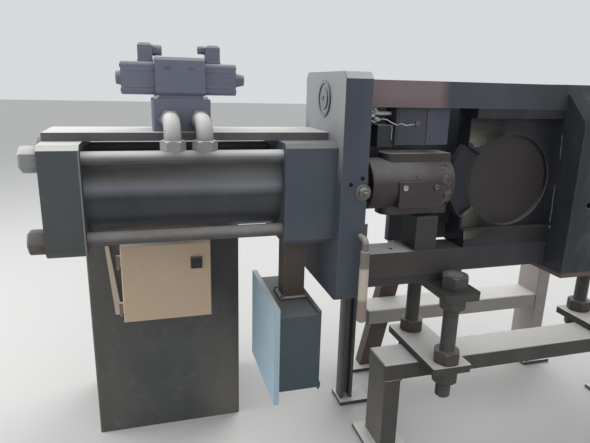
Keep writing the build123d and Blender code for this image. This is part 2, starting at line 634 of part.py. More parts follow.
def bay_group():
    """The fixed pieces in the bay: guide block, limit switch with its head, pin and mounting block."""
    length, depth, height = GUIDE_BLOCK_SIZE
    guide = block(GUIDE_BLOCK_LEFT, GUIDE_BLOCK_LEFT + length, GUIDE_BLOCK_FRONT, GUIDE_BLOCK_FRONT + depth,
                  BOTTOM_BEAM_TOP, BOTTOM_BEAM_TOP + height)
    save("guide_block", chamfer(guide.edges().group_by(Axis.Z)[-1], GUIDE_BLOCK_CHAMFER))

    length, depth, height = SWITCH_SIZE
    switch_right = SWITCH_LEFT + length
    bottom = TOP_BEAM_BOTTOM - height
    switch = block(SWITCH_LEFT, switch_right, -depth / 2, depth / 2, bottom, TOP_BEAM_BOTTOM)
    save("limit_switch", fillet(switch.edges().filter_by(Axis.Z), SWITCH_ROUND))
    save("switch_block", block(switch_right, switch_right + SWITCH_BLOCK_LENGTH, -depth / 2, depth / 2,
                               bottom, TOP_BEAM_BOTTOM))
    length, depth, height = SWITCH_HEAD_SIZE
    top = TOP_BEAM_BOTTOM - SWITCH_HEAD_DROP
    head = block(SWITCH_LEFT - length, SWITCH_LEFT, -depth / 2, depth / 2, top - height, top)
    head = fillet(head.edges().filter_by(Axis.X), SWITCH_ROUND)
    pin = round_x(SWITCH_LEFT - SWITCH_PIN_LENGTH, SWITCH_LEFT, 0, TOP_BEAM_BOTTOM - SWITCH_PIN_DROP,
                  SWITCH_PIN_DIAMETER)
    save("switch_head", head, pin)


def probe_group():
    """Temperature probe: a bent fitting on the crosshead's front with a protecting sleeve below it."""
    z = AXIS_HEIGHT - PROBE_BELOW_AXIS
    y = -FRAME_BACK - PROBE_REACH
    sleeve_top = z - PROBE_TUBE_DROP
    corners = ((PROBE_X, -FRAME_BACK, z), (PROBE_X, y, z), (PROBE_X, y, sleeve_top))
    fitting = bent_tube(corners, PROBE_BEND, PROBE_TUBE)
    sleeve = round_z(PROBE_X, y, sleeve_top - PROBE_SLEEVE_LENGTH, sleeve_top, PROBE_SLEEVE)
    sleeve = chamfer(sleeve.edges().filter_by(GeomType.CIRCLE), PROBE_SLEEVE_CHAMFER)
    save("temperature_probe", fitting, sleeve)


def clamp_plate(x, size, bottom, corner):
    """A clamp plate with cut corners and its two stud holes."""
    width, depth, thickness = size
    plate = block(x - width / 2, x + width / 2, -depth / 2, depth / 2, bottom, bottom + thickness)
    plate = chamfer(plate.edges().filter_by(Axis.Z), corner)
    for side in (-1, 1):
        plate -= round_z(x, side * STUD_SPACING / 2, bottom - 1, bottom + thickness + 1, STUD_DIAMETER)
    return plate


def foot_plate(x, y, length, depth):
    """A foot plate on the floor around a middle point."""
    return block(x - length / 2, x + length / 2, y - depth / 2, y + depth / 2, 0, FOOT_THICKNESS)


def rear_feet():
    """The foot plates of the rear leg and of the leaning brace."""
    width, depth = REAR_LEG_SIZE
    leg_x = REAR_LEG_LEFT + width / 2 + REAR_LEG_FOOT_OFFSET
    leg_foot = foot_plate(leg_x, REAR_LEG_FRONT + depth / 2, *REAR_LEG_FOOT)
    brace_foot = foot_plate(BRACE_FOOT_X, RAIL_BACK + BRACE_DEPTH / 2, *BRACE_FOOT)
    return leg_foot, brace_foot


def table_group():
    """Posts, rails, upright and feet of the table, and the levelling studs with plates and nuts."""
    half_w = TUBE_WIDTH / 2
    half_d = TUBE_DEPTH / 2
    rail_bottom = TABLE_HEIGHT - TUBE_WIDTH
    upright_x = UPRIGHT_LEFT + half_w
    places = ((0, 0), (RAIL_RIGHT - half_w, 0), (upright_x, TABLE_SPACING))
    feet = [foot_plate(x, y, FOOT_LENGTH, FOOT_DEPTH) for x, y in places]
    posts = []
    for x, y in places[:2]:
        posts.append(tube_bar(x - half_w, x + half_w, y - half_d, y + half_d, FOOT_THICKNESS, rail_bottom,
                              "Z"))
    save("table_feet", *feet, *rear_feet())
    save("table_posts", *posts)
    save("table_front_rail", tube_bar(-half_w, RAIL_RIGHT, -half_d, half_d, rail_bottom, TABLE_HEIGHT, "X"))
    save("table_rear_rail", tube_bar(REAR_RAIL_LEFT, UPRIGHT_LEFT, RAIL_FRONT, RAIL_BACK, rail_bottom,
                                     TABLE_HEIGHT, "X"))
    save("rear_upright", tube_bar(UPRIGHT_LEFT, UPRIGHT_LEFT + TUBE_WIDTH, RAIL_FRONT, RAIL_BACK,
                                  FOOT_THICKNESS, AXIS_HEIGHT + UPRIGHT_TOP, "Z"))

    stud_x = (STUD_FROM_POST, RAIL_RIGHT - half_w - STUD_FROM_POST)
    lower_top = TABLE_HEIGHT + LOWER_PLATE[2]
    upper_bottom = SOLE_BOTTOM - UPPER_PLATE[2]
    under_rail = TABLE_HEIGHT - STUD_NUT_HEIGHT
    stud_sets = (
        (stud_x[0], SOLE_BOTTOM + STUD_NUT_HEIGHT, (upper_bottom - STUD_NUT_HEIGHT, SOLE_BOTTOM)),
        (stud_x[1], FRAME_BOTTOM, (FRAME_BOTTOM - STUD_NUT_HEIGHT,)),
    )
    lowers = []
    studs = []
    nuts = []
    for x, stud_top, upper_nuts in stud_sets:
        lowers.append(clamp_plate(x, LOWER_PLATE, TABLE_HEIGHT, LOWER_PLATE_CORNER))
        for side in (-1, 1):
            y = side * STUD_SPACING / 2
            stud = round_z(x, y, under_rail - STUD_TAIL, stud_top, STUD_DIAMETER)
            studs.append(chamfer(stud.edges().group_by(Axis.Z)[0], STUD_END_CHAMFER))
            for z in (under_rail, lower_top, *upper_nuts):
                nut = hexagon(STUD_NUT_FLATS, STUD_NUT_HEIGHT)
                nut -= Cylinder(STUD_DIAMETER / 2, 3 * STUD_NUT_HEIGHT)
                nuts.append(Pos(x, y, z) * nut)
    upper = clamp_plate(stud_x[0], UPPER_PLATE, upper_bottom, UPPER_PLATE_CORNER)
    save("clamp_plates", upper, *lowers)
    save("levelling_studs", *studs)
    save("levelling_nuts", *nuts)


def rear_group():
    """The rear leg and the leaning brace, and the brackets between the frame and the rear supports."""
    top = AXIS_HEIGHT + UPRIGHT_TOP
    arm = (
        (HOUSING_BACK, top - BRACKET_HEIGHT), (RAIL_FRONT, top - BRACKET_TIP), (RAIL_FRONT, top),
        (HOUSING_BACK, top),
    )
    upright_bracket = profile_x(arm, UPRIGHT_LEFT, UPRIGHT_LEFT + TUBE_WIDTH)

    width, depth = REAR_LEG_SIZE
    leg_right = REAR_LEG_LEFT + width
    leg_top = AXIS_HEIGHT + REAR_LEG_TOP
    leg_back = REAR_LEG_FRONT + depth
    leg = block(REAR_LEG_LEFT, leg_right, REAR_LEG_FRONT, leg_back, FOOT_THICKNESS, leg_top)
    leg -= block(REAR_LEG_LEFT + REAR_LEG_FLANGE, leg_right - REAR_LEG_FLANGE, REAR_LEG_FRONT - 1,
                 leg_back - REAR_LEG_WEB, FOOT_THICKNESS - 1, leg_top + 1)
    save("rear_leg", leg)
    bottom = leg_top - LEG_BRACKET_HEIGHT
    pad_back = FRAME_BACK + LEG_BRACKET_PAD
    bracket = block(CROSSHEAD_LEFT + LEG_BRACKET_INSET, leg_right, pad_back, REAR_LEG_FRONT, bottom, leg_top)
    bracket += block(CROSSHEAD_LEFT + LEG_BRACKET_INSET, CROSSHEAD_RIGHT - LEG_BRACKET_INSET, FRAME_BACK,
                     pad_back, bottom, leg_top)

    lean = tan(radians(BRACE_LEAN))
    brace_top = AXIS_HEIGHT + BRACE_TOP
    low_x = BRACE_FOOT_X + lean * FOOT_THICKNESS
    high_x = BRACE_FOOT_X + lean * brace_top
    half = BRACE_WIDTH / 2
    sides = ((low_x - half, FOOT_THICKNESS), (low_x + half, FOOT_THICKNESS), (high_x + half, brace_top),
             (high_x - half, brace_top))
    save("rear_brace", profile_y(sides, RAIL_BACK, RAIL_BACK + BRACE_DEPTH))
    middle_x = BRACE_FOOT_X + lean * (brace_top - BRACE_BRACKET_HEIGHT / 2)
    arm = (
        (FRAME_BACK, brace_top - BRACE_BRACKET_HEIGHT), (RAIL_BACK, brace_top - BRACE_BRACKET_TIP),
        (RAIL_BACK, brace_top), (FRAME_BACK, brace_top),
    )
    brace_bracket = profile_x(arm, middle_x - BRACE_BRACKET_WIDTH / 2, middle_x + BRACE_BRACKET_WIDTH / 2)
    save("rear_brackets", upright_bracket, brace_bracket, bracket)


def column_group():
    """Column behind the cylinder and the bracket that carries the cylinder on it."""
    right = COLUMN_LEFT + COLUMN_WIDTH
    column = block(COLUMN_LEFT, right, COLUMN_FRONT, COLUMN_FRONT + COLUMN_DEPTH, 0,
                   AXIS_HEIGHT + COLUMN_ABOVE_AXIS)
    save("column", fillet(column.edges().filter_by(Axis.Z), COLUMN_ROUND))
    bottom = AXIS_HEIGHT - CARRIER_HEIGHT / 2
    top = AXIS_HEIGHT + CARRIER_HEIGHT / 2
    front = CAP_SIZE / 2
    back = front + CARRIER_THICKNESS
    plate = block(CAP_LEFT + CARRIER_INSET, CROSSHEAD_LEFT - CARRIER_INSET, front, back, bottom, top)
    arms = []
    for x in (COLUMN_LEFT + CARRIER_ARM_INSET, right - CARRIER_ARM_INSET - CARRIER_ARM):
        arms.append(block(x, x + CARRIER_ARM, back, COLUMN_FRONT, bottom, top))
    save("carrier_bracket", plate, *arms)


def enclosure_group():
    """The control enclosure on the column, its hinged door with latch, and the strip beside it."""
    width, depth, height = ENCLOSURE_SIZE
    left = ENCLOSURE_LEFT
    right = left + width
    back = COLUMN_FRONT
    door_back = back - depth + DOOR_THICKNESS
    door_front = back - depth
    body_front = door_back + DOOR_GAP
    top = AXIS_HEIGHT + ENCLOSURE_TOP
    bottom = top - height
    wall = ENCLOSURE_WALL
    body = block(left, right, body_front, back, bottom, top)
    body -= block(left + wall, right - wall, body_front - 1, back - wall, bottom + wall, top - wall)
    door = block(left, right, door_front, door_back, bottom, top)
    door = fillet(door.edges().group_by(Axis.Y)[0], DOOR_ROUND)
    pin_x = left - HINGE_LUG / 2
    pin_y = door_back - DOOR_THICKNESS / 2
    half_lug = HINGE_LUG / 2
    for lug_bottom in (bottom + HINGE_INSET, top - HINGE_INSET - HINGE_HEIGHT):
        lug_top = lug_bottom + HINGE_HEIGHT
        door += block(left - HINGE_LUG, left + wall, pin_y - half_lug, pin_y + half_lug, lug_bottom, lug_top)
        door -= round_z(pin_x, pin_y, lug_bottom - 1, lug_top + 1, HINGE_PIN + 2 * RUNNING_GAP)
        arm_top = lug_bottom - HINGE_STEP
        arm_bottom = arm_top - HINGE_ARM
        body += block(left - HINGE_LUG, left + wall, body_front, body_front + HINGE_TAB, arm_bottom, arm_top)
        body += block(left - HINGE_LUG, left - HINGE_ARM_GAP, pin_y, body_front, arm_bottom, arm_top)
        body += round_z(pin_x, pin_y, arm_bottom, arm_top, HINGE_BOSS)
        body += round_z(pin_x, pin_y, arm_bottom, lug_top, HINGE_PIN)
    save("enclosure_body", body)
    save("enclosure_door", door)
    length, thickness, latch_height = LATCH_SIZE
    latch_right = right - LATCH_FROM_RIGHT
    latch_top = top - LATCH_FROM_TOP
    latch = block(latch_right - length, latch_right, door_front - thickness, door_front,
                  latch_top - latch_height, latch_top)
    save("door_latch", chamfer(latch.edges().group_by(Axis.Y)[0], LATCH_CHAMFER))

    top_x, top_z = TRUNKING_TOP
    low_x, low_z = TRUNKING_BOTTOM
    top_z += AXIS_HEIGHT
    low_z += AXIS_HEIGHT
    strip = (
        (low_x - TRUNKING_BOTTOM_WIDTH / 2, low_z), (low_x + TRUNKING_BOTTOM_WIDTH / 2, low_z),
        (top_x + TRUNKING_TOP_WIDTH / 2, top_z), (top_x - TRUNKING_TOP_WIDTH / 2, top_z),
    )
    save("trunking_strip", profile_y(strip, COLUMN_FRONT - TRUNKING_THICKNESS, COLUMN_FRONT))


def junction_group():
    """Junction box that hangs under the cylinder head, with its cover plate and post."""
    width, depth, height = BOX_SIZE
    right = BOX_LEFT + width
    back = BOX_FRONT + depth
    top = AXIS_HEIGHT + BOX_TOP
    bottom = top - height
    rim_width, rim_height = BOX_RIM
    box = block(BOX_LEFT, right, BOX_FRONT, back, bottom, top)
    box = fillet(box.edges().filter_by(Axis.Y), BOX_ROUND)
    box += block(right - rim_width, right, BOX_FRONT, back, top - BOX_ROUND - 1, top + rim_height)
    save("junction_box", box)
    save("junction_cover", block(BOX_LEFT - COVER_THICKNESS, BOX_LEFT, BOX_FRONT - COVER_OVERHANG_Y,
                                 back + COVER_OVERHANG_Y, bottom - COVER_BELOW, top + COVER_ABOVE))
    save("junction_post", block(BOX_POST_LEFT, BOX_POST_LEFT + BOX_POST, BOX_POST_FRONT,
                                BOX_POST_FRONT + BOX_POST, top, AXIS_HEIGHT - CAP_SIZE / 2))


def main():
    """Write every node."""
    os.makedirs("parts", exist_ok=True)
    cylinder_group()
    valve_group()
    frame_group()
    housing_group()
    rod_and_coupling()
    slide_group()
    bay_group()
    probe_group()
    table_group()
    rear_group()
    column_group()
    enclosure_group()
    junction_group()


main()
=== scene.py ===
"""Dresses the screen-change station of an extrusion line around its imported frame.

Everything is in metres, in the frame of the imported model: X along the cylinder towards
the screen housing, Y from the operator's side to the back, Z up from the floor.
"""
import math
from itertools import product

import bpy
from mathutils import Matrix, Vector


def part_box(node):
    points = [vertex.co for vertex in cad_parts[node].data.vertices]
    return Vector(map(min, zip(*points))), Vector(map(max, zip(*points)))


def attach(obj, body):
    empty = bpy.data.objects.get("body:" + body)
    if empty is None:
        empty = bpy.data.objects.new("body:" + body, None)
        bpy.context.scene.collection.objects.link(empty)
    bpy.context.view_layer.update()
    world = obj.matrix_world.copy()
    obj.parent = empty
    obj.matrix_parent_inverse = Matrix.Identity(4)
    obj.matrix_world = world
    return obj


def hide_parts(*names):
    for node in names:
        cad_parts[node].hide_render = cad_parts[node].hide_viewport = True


bl_info = {
    "name": "Screen-Change Station",
    "version": (1, 1, 0),
    "blender": (4, 5, 0),
    "location": "3D View > Sidebar > Station",
    "description": "Finishes the surfaces and small parts of a screen-change station",
    "category": "Object",
}

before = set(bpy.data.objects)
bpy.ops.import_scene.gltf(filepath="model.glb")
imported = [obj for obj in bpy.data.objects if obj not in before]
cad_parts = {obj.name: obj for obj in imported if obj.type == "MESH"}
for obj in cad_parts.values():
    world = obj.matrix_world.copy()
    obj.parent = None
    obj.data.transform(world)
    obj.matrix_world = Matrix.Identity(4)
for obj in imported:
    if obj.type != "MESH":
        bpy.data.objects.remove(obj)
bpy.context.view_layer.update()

X = 0
Y = 1
Z = 2
LEFT = Vector((-1.0, 0.0, 0.0))
RIGHT = Vector((1.0, 0.0, 0.0))
FRONT = Vector((0.0, -1.0, 0.0))
BACK = Vector((0.0, 1.0, 0.0))
DOWN = Vector((0.0, 0.0, -1.0))
UP = Vector((0.0, 0.0, 1.0))
AXIS_HEIGHT = 0.750

SPECULAR = 0.3

finishes = {}


class Number:
    """A number socket of a material that can stand in plain maths."""

    def __init__(self, paint, socket):
        self.paint = paint
        self.socket = socket

    def maths(self, operation, *values, clamp=False):
        """One Math node fed by the values in their order."""
        node = self.paint.node("ShaderNodeMath", {"operation": operation, "use_clamp": clamp},
                               dict(enumerate(values)))
        return Number(self.paint, node.outputs[0])

    def __add__(self, other):
        return self.maths("ADD", self, other)

    def __sub__(self, other):
        return self.maths("SUBTRACT", self, other)

    def __mul__(self, other):
        return self.maths("MULTIPLY", self, other)

    def __truediv__(self, other):
        return self.maths("DIVIDE", self, other)

    def __rsub__(self, other):
        return self.maths("SUBTRACT", other, self)

    __radd__ = __add__
    __rmul__ = __mul__

    def root(self):
        """The square root of this number."""
        return self.maths("SQRT", self)

    def held(self):
        """This number held between 0 and 1."""
        return self.maths("ADD", self, 0.0, clamp=True)

    def ramp(self, low, high):
        """0 at low, 1 at high, and straight between them."""
        node = self.paint.node("ShaderNodeMapRange", {"clamp": True},
                               {0: self, 1: low, 2: high, 3: 0.0, 4: 1.0})
        return Number(self.paint, node.outputs[0])

    def fall(self, low, high):
        """1 at low, 0 at high, and straight between them."""
        return 1.0 - self.ramp(low, high)

    def above(self, limit):
        """1 where this number is above a limit, and 0 elsewhere."""
        return self.maths("GREATER_THAN", self, limit)

    def below(self, limit):
        """0 where this number is above a limit, and 1 elsewhere."""
        return 1.0 - self.above(limit)


class Paint:
    """A node material with short calls for the nodes that the finishes use."""

    def __init__(self, name):
        self.material = bpy.data.materials.new(name)
        self.material.use_nodes = True
        self.tree = self.material.node_tree
        self.shader = self.tree.nodes["Principled BSDF"]
        self.coordinates = self.node("ShaderNodeTexCoord", {}, {})

    def feed(self, slot, value):
        """Links a socket, or sets it where the value is plain."""
        if isinstance(value, Number):
            value = value.socket
        if isinstance(value, bpy.types.NodeSocket):
            self.tree.links.new(value, slot)
        else:
            slot.default_value = value

    def node(self, kind, settings, inputs):
        """Any node: its settings first, then the values or links of its sockets."""
        node = self.tree.nodes.new(kind)
        for key, value in settings.items():
            setattr(node, key, value)
        for key, value in inputs.items():
            self.feed(node.inputs[key], value)
        return node

    def noise(self, scale, detail, roughness, stretch=(1.0, 1.0, 1.0), shift=(0.0, 0.0, 0.0)):
        """Cloudy noise from 0 to 1, on stretched and shifted object coordinates."""
        place = self.node("ShaderNodeMapping", {}, {
            "Vector": self.coordinates.outputs["Object"],
            "Location": shift,
            "Scale": stretch,
        })
        node = self.node("ShaderNodeTexNoise", {}, {
            "Vector": place.outputs[0],
            "Scale": scale,
            "Detail": detail,
            "Roughness": roughness,
        })
        return Number(self, node.outputs[0])

    def along(self, axis):
        """The place along one axis, in metres."""
        split = self.node("ShaderNodeSeparateXYZ", {}, {0: self.coordinates.outputs["Object"]})
        return Number(self, split.outputs[axis])

    def drift(self, axis, cloud, amount):
        """The place along one axis, pushed to and fro by a cloud."""
        return self.along(axis) + (cloud - 0.5) * amount

    def dot(self, first, second):
        """The dot product of two vectors."""
        node = self.node("ShaderNodeVectorMath", {"operation": "DOT_PRODUCT"}, {0: first, 1: second})
        return Number(self, node.outputs["Value"])

    def facing(self, direction):
        """How far the surface looks in a direction, from -1 to 1."""
        return self.dot(self.coordinates.outputs["Normal"], direction)

    def edges(self, radius):
        """1 near sharp edges, 0 on flat faces."""
        bevel = self.node("ShaderNodeBevel", {"samples": 4}, {"Radius": radius})
        geometry = self.node("ShaderNodeNewGeometry", {}, {})
        return (1.0 - self.dot(bevel.outputs[0], geometry.outputs["Normal"])).ramp(0.02, 0.2)

    def mix(self, share, first, second):
        """A blend of two colours."""
        node = self.node("ShaderNodeMix", {"data_type": "RGBA"}, {
            0: share,
            6: self.colour(first),
            7: self.colour(second),
        })
        return node.outputs[2]

    def colour(self, value):
        """A colour with its alpha, or a link left as it is."""
        if isinstance(value, bpy.types.NodeSocket):
            return value
        return (*value[:3], 1.0)

    def bump(self, height, distance, strength):
        """Feeds the shader's normal from a height in the surface."""
        node = self.node("ShaderNodeBump", {}, {
            "Height": height,
            "Distance": distance,
            "Strength": strength,
        })
        self.feed(self.shader.inputs["Normal"], node.outputs[0])

    def finish(self, colour, roughness, metallic=0.0):
        """Feeds the shader's main sockets."""
        self.feed(self.shader.inputs["Base Color"], self.colour(colour))
        self.feed(self.shader.inputs["Roughness"], roughness)
        self.feed(self.shader.inputs["Metallic"], metallic)
        self.shader.inputs["Specular IOR Level"].default_value = SPECULAR
        return self.material


TOP_SLOPE = (0.15, 0.9)
PAINT_WEAR = 0.0035
STEEL_WEAR = 0.0025
RUST = (0.085, 0.045, 0.030)


def shade(colour, factor):
    """A darker or lighter copy of a colour."""
    return tuple(part * factor for part in colour)


def worn_paint(name, colour, dust, top, thin, chip=(0.16, 0.155, 0.15), rust=0.0, gloss=0.5, tint=None,
               recolour=None, where=None):
    """Old enamel: dust settled on top and thin on its sides, faint runs, worn edges, some rust."""
    paint = Paint(name)
    cloud = paint.noise(5.0, 6.0, 0.6)
    fine = paint.noise(85.0, 5.0, 0.65)
    runs = paint.noise(7.0, 3.0, 0.5, stretch=(2.2, 2.2, 0.55), shift=(0.3, 0.1, 0.0))
    up = paint.facing(UP).ramp(*TOP_SLOPE)
    settled = (up * (0.72 + cloud * 0.5 + fine * 0.1)).held() * top
    if where:
        settled = settled * where(paint, cloud)
    haze = ((cloud * 0.5 + runs * 0.35 + fine * 0.3) - 0.38).ramp(0.0, 0.5) * thin
    base = paint.mix(fine.ramp(0.3, 0.75) * 0.3, colour, shade(colour, 0.78))
    base = paint.mix(cloud.ramp(0.42, 0.72) * 0.35, base, tint or shade(colour, 1.28))
    if recolour:
        base = recolour(paint, base, cloud, fine)
    if rust:
        patch = (paint.noise(10.0, 6.0, 0.7, shift=(1.0, 2.0, 3.0)) + fine * 0.3).ramp(0.70, 0.86)
        base = paint.mix(patch * rust, base, RUST)
    worn = (paint.edges(PAINT_WEAR) * (fine + cloud).ramp(0.75, 1.15)).held()
    base = paint.mix(worn * 0.5, base, chip)
    base = paint.mix(haze, base, dust)
    base = paint.mix(settled, base, dust)
    rough = (gloss + settled * 0.35 + haze * 0.3 + fine * 0.1).held()
    paint.bump(fine * 0.45 + cloud * 0.55, 0.0010, 0.3)
    return paint.finish(base, rough)


PALE_FACTOR = 4.2


def pale_paint(name, colour, dust, top, thin):
    """The table's paint under much pale dust, on its rear members."""
    return worn_paint(name, shade(colour, PALE_FACTOR), dust, top, thin)


def bare_steel(name, colour, dust, top, thin, rust=0.3, gloss=0.42, metallic=0.55, recolour=None,
               where=None):
    """Handled steel: dulled by oil and dust, with brown spots."""
    paint = Paint(name)
    cloud = paint.noise(12.0, 6.0, 0.6)
    fine = paint.noise(130.0, 4.0, 0.6)
    spot = (paint.noise(26.0, 6.0, 0.7, shift=(4.0, 1.0, 2.0)) + fine * 0.2).ramp(0.60, 0.76) * rust
    up = paint.facing(UP).ramp(*TOP_SLOPE)
    settled = (up * (0.70 + cloud * 0.55)).held() * top
    if where:
        settled = settled * where(paint, cloud)
    haze = (cloud - 0.40).ramp(0.0, 0.4) * thin
    base = paint.mix(cloud.ramp(0.35, 0.7) * 0.5, colour, shade(colour, 0.62))
    base = paint.mix(spot, base, RUST)
    if recolour:
        base = recolour(paint, base, cloud, fine)
    worn = (paint.edges(STEEL_WEAR) * fine.ramp(0.35, 0.7)).held()
    base = paint.mix(worn * 0.4, base, shade(colour, 1.9))
    base = paint.mix(haze, base, dust)
    base = paint.mix(settled, base, dust)
    rough = (gloss + settled * 0.4 + haze * 0.4 + spot * 0.3 + fine * 0.1).held()
    metal = ((1.0 - settled) * (1.0 - haze) * (1.0 - spot) * metallic).held()
    paint.bump(fine * 0.5 + cloud * 0.5, 0.0006, 0.3)
    return paint.finish(base, rough, metal)


def crumbly(name, light, dark, scale):
    """Dried plastic or fluff: blotchy, rough and matt."""
    paint = Paint(name)
    cloud = paint.noise(scale, 6.0, 0.65)
    fine = paint.noise(scale * 6.0, 4.0, 0.6)
    base = paint.mix(cloud.ramp(0.35, 0.68), dark, light)
    base = paint.mix(fine.ramp(0.55, 0.8) * 0.35, base, shade(light, 1.3))
    paint.bump(cloud * 0.6 + fine * 0.4, 0.0015, 0.6)
    return paint.finish(base, 0.75)


RESIDUE_EDGE = 0.168
RESIDUE_REACH = 0.125
RESIDUE_BRIGHT = (0.845, 0.885)


def residue_film(name, bright, olive):
    """A thin greasy film of plastic, thick and bright at the plate's edge and thinning out along it."""
    paint = Paint(name)
    cloud = paint.noise(20.0, 6.0, 0.6)
    fine = paint.noise(140.0, 4.0, 0.6)
    distance = paint.along(X) - RESIDUE_EDGE
    fade = (distance + (cloud - 0.5) * 0.10).fall(0.0, RESIDUE_REACH)
    near = (distance + (cloud - 0.5) * 0.04).fall(0.006, 0.050)
    low = paint.drift(Z, cloud, 0.05).fall(*RESIDUE_BRIGHT)
    base = paint.mix(near * low, olive, bright)
    base = paint.mix(fine.ramp(0.4, 0.8) * 0.2, base, shade(olive, 0.8))
    upper = paint.along(Z).above(AXIS_HEIGHT) * 0.55 + 0.45
    paint.feed(paint.shader.inputs["Alpha"], (fade * upper * (0.35 + cloud * 0.6 + low * 0.3)).held())
    paint.bump(cloud * 0.7 + fine * 0.3, 0.0004, 0.2)
    return paint.finish(base, 0.6)


# Blacks of the painted shade inside open holes.
HOLE_SHADES = ((0.003, 0.003, 0.004), (0.009, 0.009, 0.010))


def dark_hole(name):
    """Painted shade: the black inside an open hole."""
    paint = Paint(name)
    fine = paint.noise(60.0, 4.0, 0.55)
    return paint.finish(paint.mix(fine.ramp(0.3, 0.7), *HOLE_SHADES), 0.8)


CAP_EDGE = (-0.7268, -0.7235)
CAP_GREEN = (0.062, 0.072, 0.072)
CAP_FOOT = (0.058, 0.060, 0.056)
# Colours of the painted highlight on the end cap's edge and of the painted light on the crosshead's left
# side.
CAP_EDGE_HIGHLIGHT = (0.26, 0.27, 0.28)
CROSSHEAD_PAINTED_LIGHT = (0.30, 0.305, 0.31)
HEAD_REACH = (-0.330, -0.206)


def enamel_recolour(paint, base, cloud, fine):
    """A greener end cap with a painted highlight along its right front edge, and painted light high on the
    crosshead's left side.
    """
    cap = paint.along(X).fall(CAP_EDGE[1], CAP_EDGE[1] + 0.002)
    base = paint.mix(cap * 0.75, base, CAP_GREEN)
    base = paint.mix(cap * paint.drift(Z, cloud, 0.1).fall(0.66, 0.78) * 0.6, base, CAP_FOOT)
    # Painted highlight: a thin light line down the end cap's right front edge.
    cap_highlight = cap * paint.along(X).above(CAP_EDGE[0]) * paint.facing(FRONT).above(0.5)
    base = paint.mix(cap_highlight * 0.6, base, CAP_EDGE_HIGHLIGHT)
    # Painted light: the crosshead's left side is made paler high up.
    left = paint.facing(LEFT).ramp(0.6, 0.95) * paint.along(X).above(HEAD_REACH[1] - 0.030)
    high = paint.drift(Z, cloud, 0.2).ramp(0.78, 0.90)
    plate = paint.along(X).ramp(HEAD_REACH[1] - 0.006, HEAD_REACH[1] - 0.003) * 0.3 + 0.7
    return paint.mix(left * high * plate * 0.92, base, CROSSHEAD_PAINTED_LIGHT)


def enamel_dust_and_light(paint, cloud):
    """Less dust lies on the cylinder head than on the end cap and the crosshead, and more on the end cap:
    partly painted shade on the head's top and painted light on the cap's.
    """
    # Painted shade on the head's top, and painted light on the end cap's top.
    head = paint.along(X).ramp(HEAD_REACH[0], HEAD_REACH[0] + 0.004) * paint.along(X).below(HEAD_REACH[1])
    return 1.0 - head * 0.62 + paint.along(X).below(CAP_EDGE[1]) * 0.8


# Heights of the painted reflection band, and colours of the barrel's painted shade, highlights and
# reflection.
BARREL_REFLECTION_HEIGHTS = (0.750, 0.770, 0.792)
BARREL_PAINTED_SHADE = (0.036, 0.041, 0.045)
BARREL_UNDERSIDE_SHADE = (0.028, 0.028, 0.040)
BARREL_BROWN_HIGHLIGHT = (0.085, 0.076, 0.072)
BARREL_RIGHT_REACH = (-0.60, -0.42)
BARREL_RIGHT_HIGHLIGHT = (0.125, 0.130, 0.128)
BARREL_REFLECTION = (0.175, 0.180, 0.212)


def barrel_recolour(paint, base, cloud, fine):
    """A painted reflection as a pale band along the front, a painted brown highlight above it, and painted
    shade, green-black, below.
    """
    height = paint.drift(Z, cloud, 0.012)
    reflection = height.ramp(*BARREL_REFLECTION_HEIGHTS[:2]) * height.fall(*BARREL_REFLECTION_HEIGHTS[1:])
    streak = paint.noise(9.0, 4.0, 0.6, stretch=(0.5, 1.0, 2.5))
    # Painted shade below the barrel's middle, darker still towards its underside.
    base = paint.mix(height.fall(0.735, 0.750) * 0.75, base, BARREL_PAINTED_SHADE)
    base = paint.mix(height.fall(0.690, 0.715) * 0.8, base, BARREL_UNDERSIDE_SHADE)
    # A painted brown highlight above the reflection, paler towards the right end.
    brown = height.ramp(*BARREL_REFLECTION_HEIGHTS[1:]) * height.fall(0.800, 0.818)
    base = paint.mix(brown * streak.ramp(0.3, 0.7) * 0.7, base, BARREL_BROWN_HIGHLIGHT)
    right = paint.drift(X, cloud, 0.1).ramp(*BARREL_RIGHT_REACH)
    base = paint.mix(right * brown * 0.8, base, BARREL_RIGHT_HIGHLIGHT)
    # The painted reflection band itself.
    return paint.mix((reflection * (0.30 + streak * 1.1)).held(), base, BARREL_REFLECTION)


ROD_BROWNS = ((0.105, 0.088, 0.078), (0.215, 0.20, 0.19))
ROD_UNDERSIDE_SHADE = (0.045, 0.045, 0.047)
NUT_BROWN = (0.085, 0.070, 0.060)


def rod_recolour(paint, base, cloud, fine):
    """The lower tie rods are brown and blotchy, the upper ones grey, and every rod has painted shade on its
    underside.
    """
    blotch = paint.noise(9.0, 5.0, 0.65, stretch=(0.6, 1.0, 1.0), shift=(3.0, 0.0, 0.0))
    brown = paint.mix(blotch.ramp(0.35, 0.65), *ROD_BROWNS)
    base = paint.mix(paint.along(Z).below(AXIS_HEIGHT), base, brown)
    # Painted shade on the undersides of the rods.
    under = (0.25 - paint.facing(UP)).ramp(0.0, 0.6)
    return paint.mix(under * 0.85, base, ROD_UNDERSIDE_SHADE)


def rod_dust(paint, cloud):
    """The upper tie rods catch most of the dust, and the one behind the barrel little of it."""
    open_side = 1.0 - paint.along(Y).above(0.0) * 0.9
    return (paint.along(Z).above(AXIS_HEIGHT) * 0.85 + 0.15) * open_side


def nut_recolour(paint, base, cloud, fine):
    """The lower tie rod nuts are brown."""
    return paint.mix(paint.along(Z).below(AXIS_HEIGHT) * 0.97, base, NUT_BROWN)


COLUMN_MIDDLE = (-0.72, -0.64, -0.52, -0.43)
COLUMN_BROWN = (0.088, 0.084, 0.078)
COLUMN_FOOT = (0.120, 0.112, 0.102)
COLUMN_SCUFF = (0.15, 0.15, 0.145)


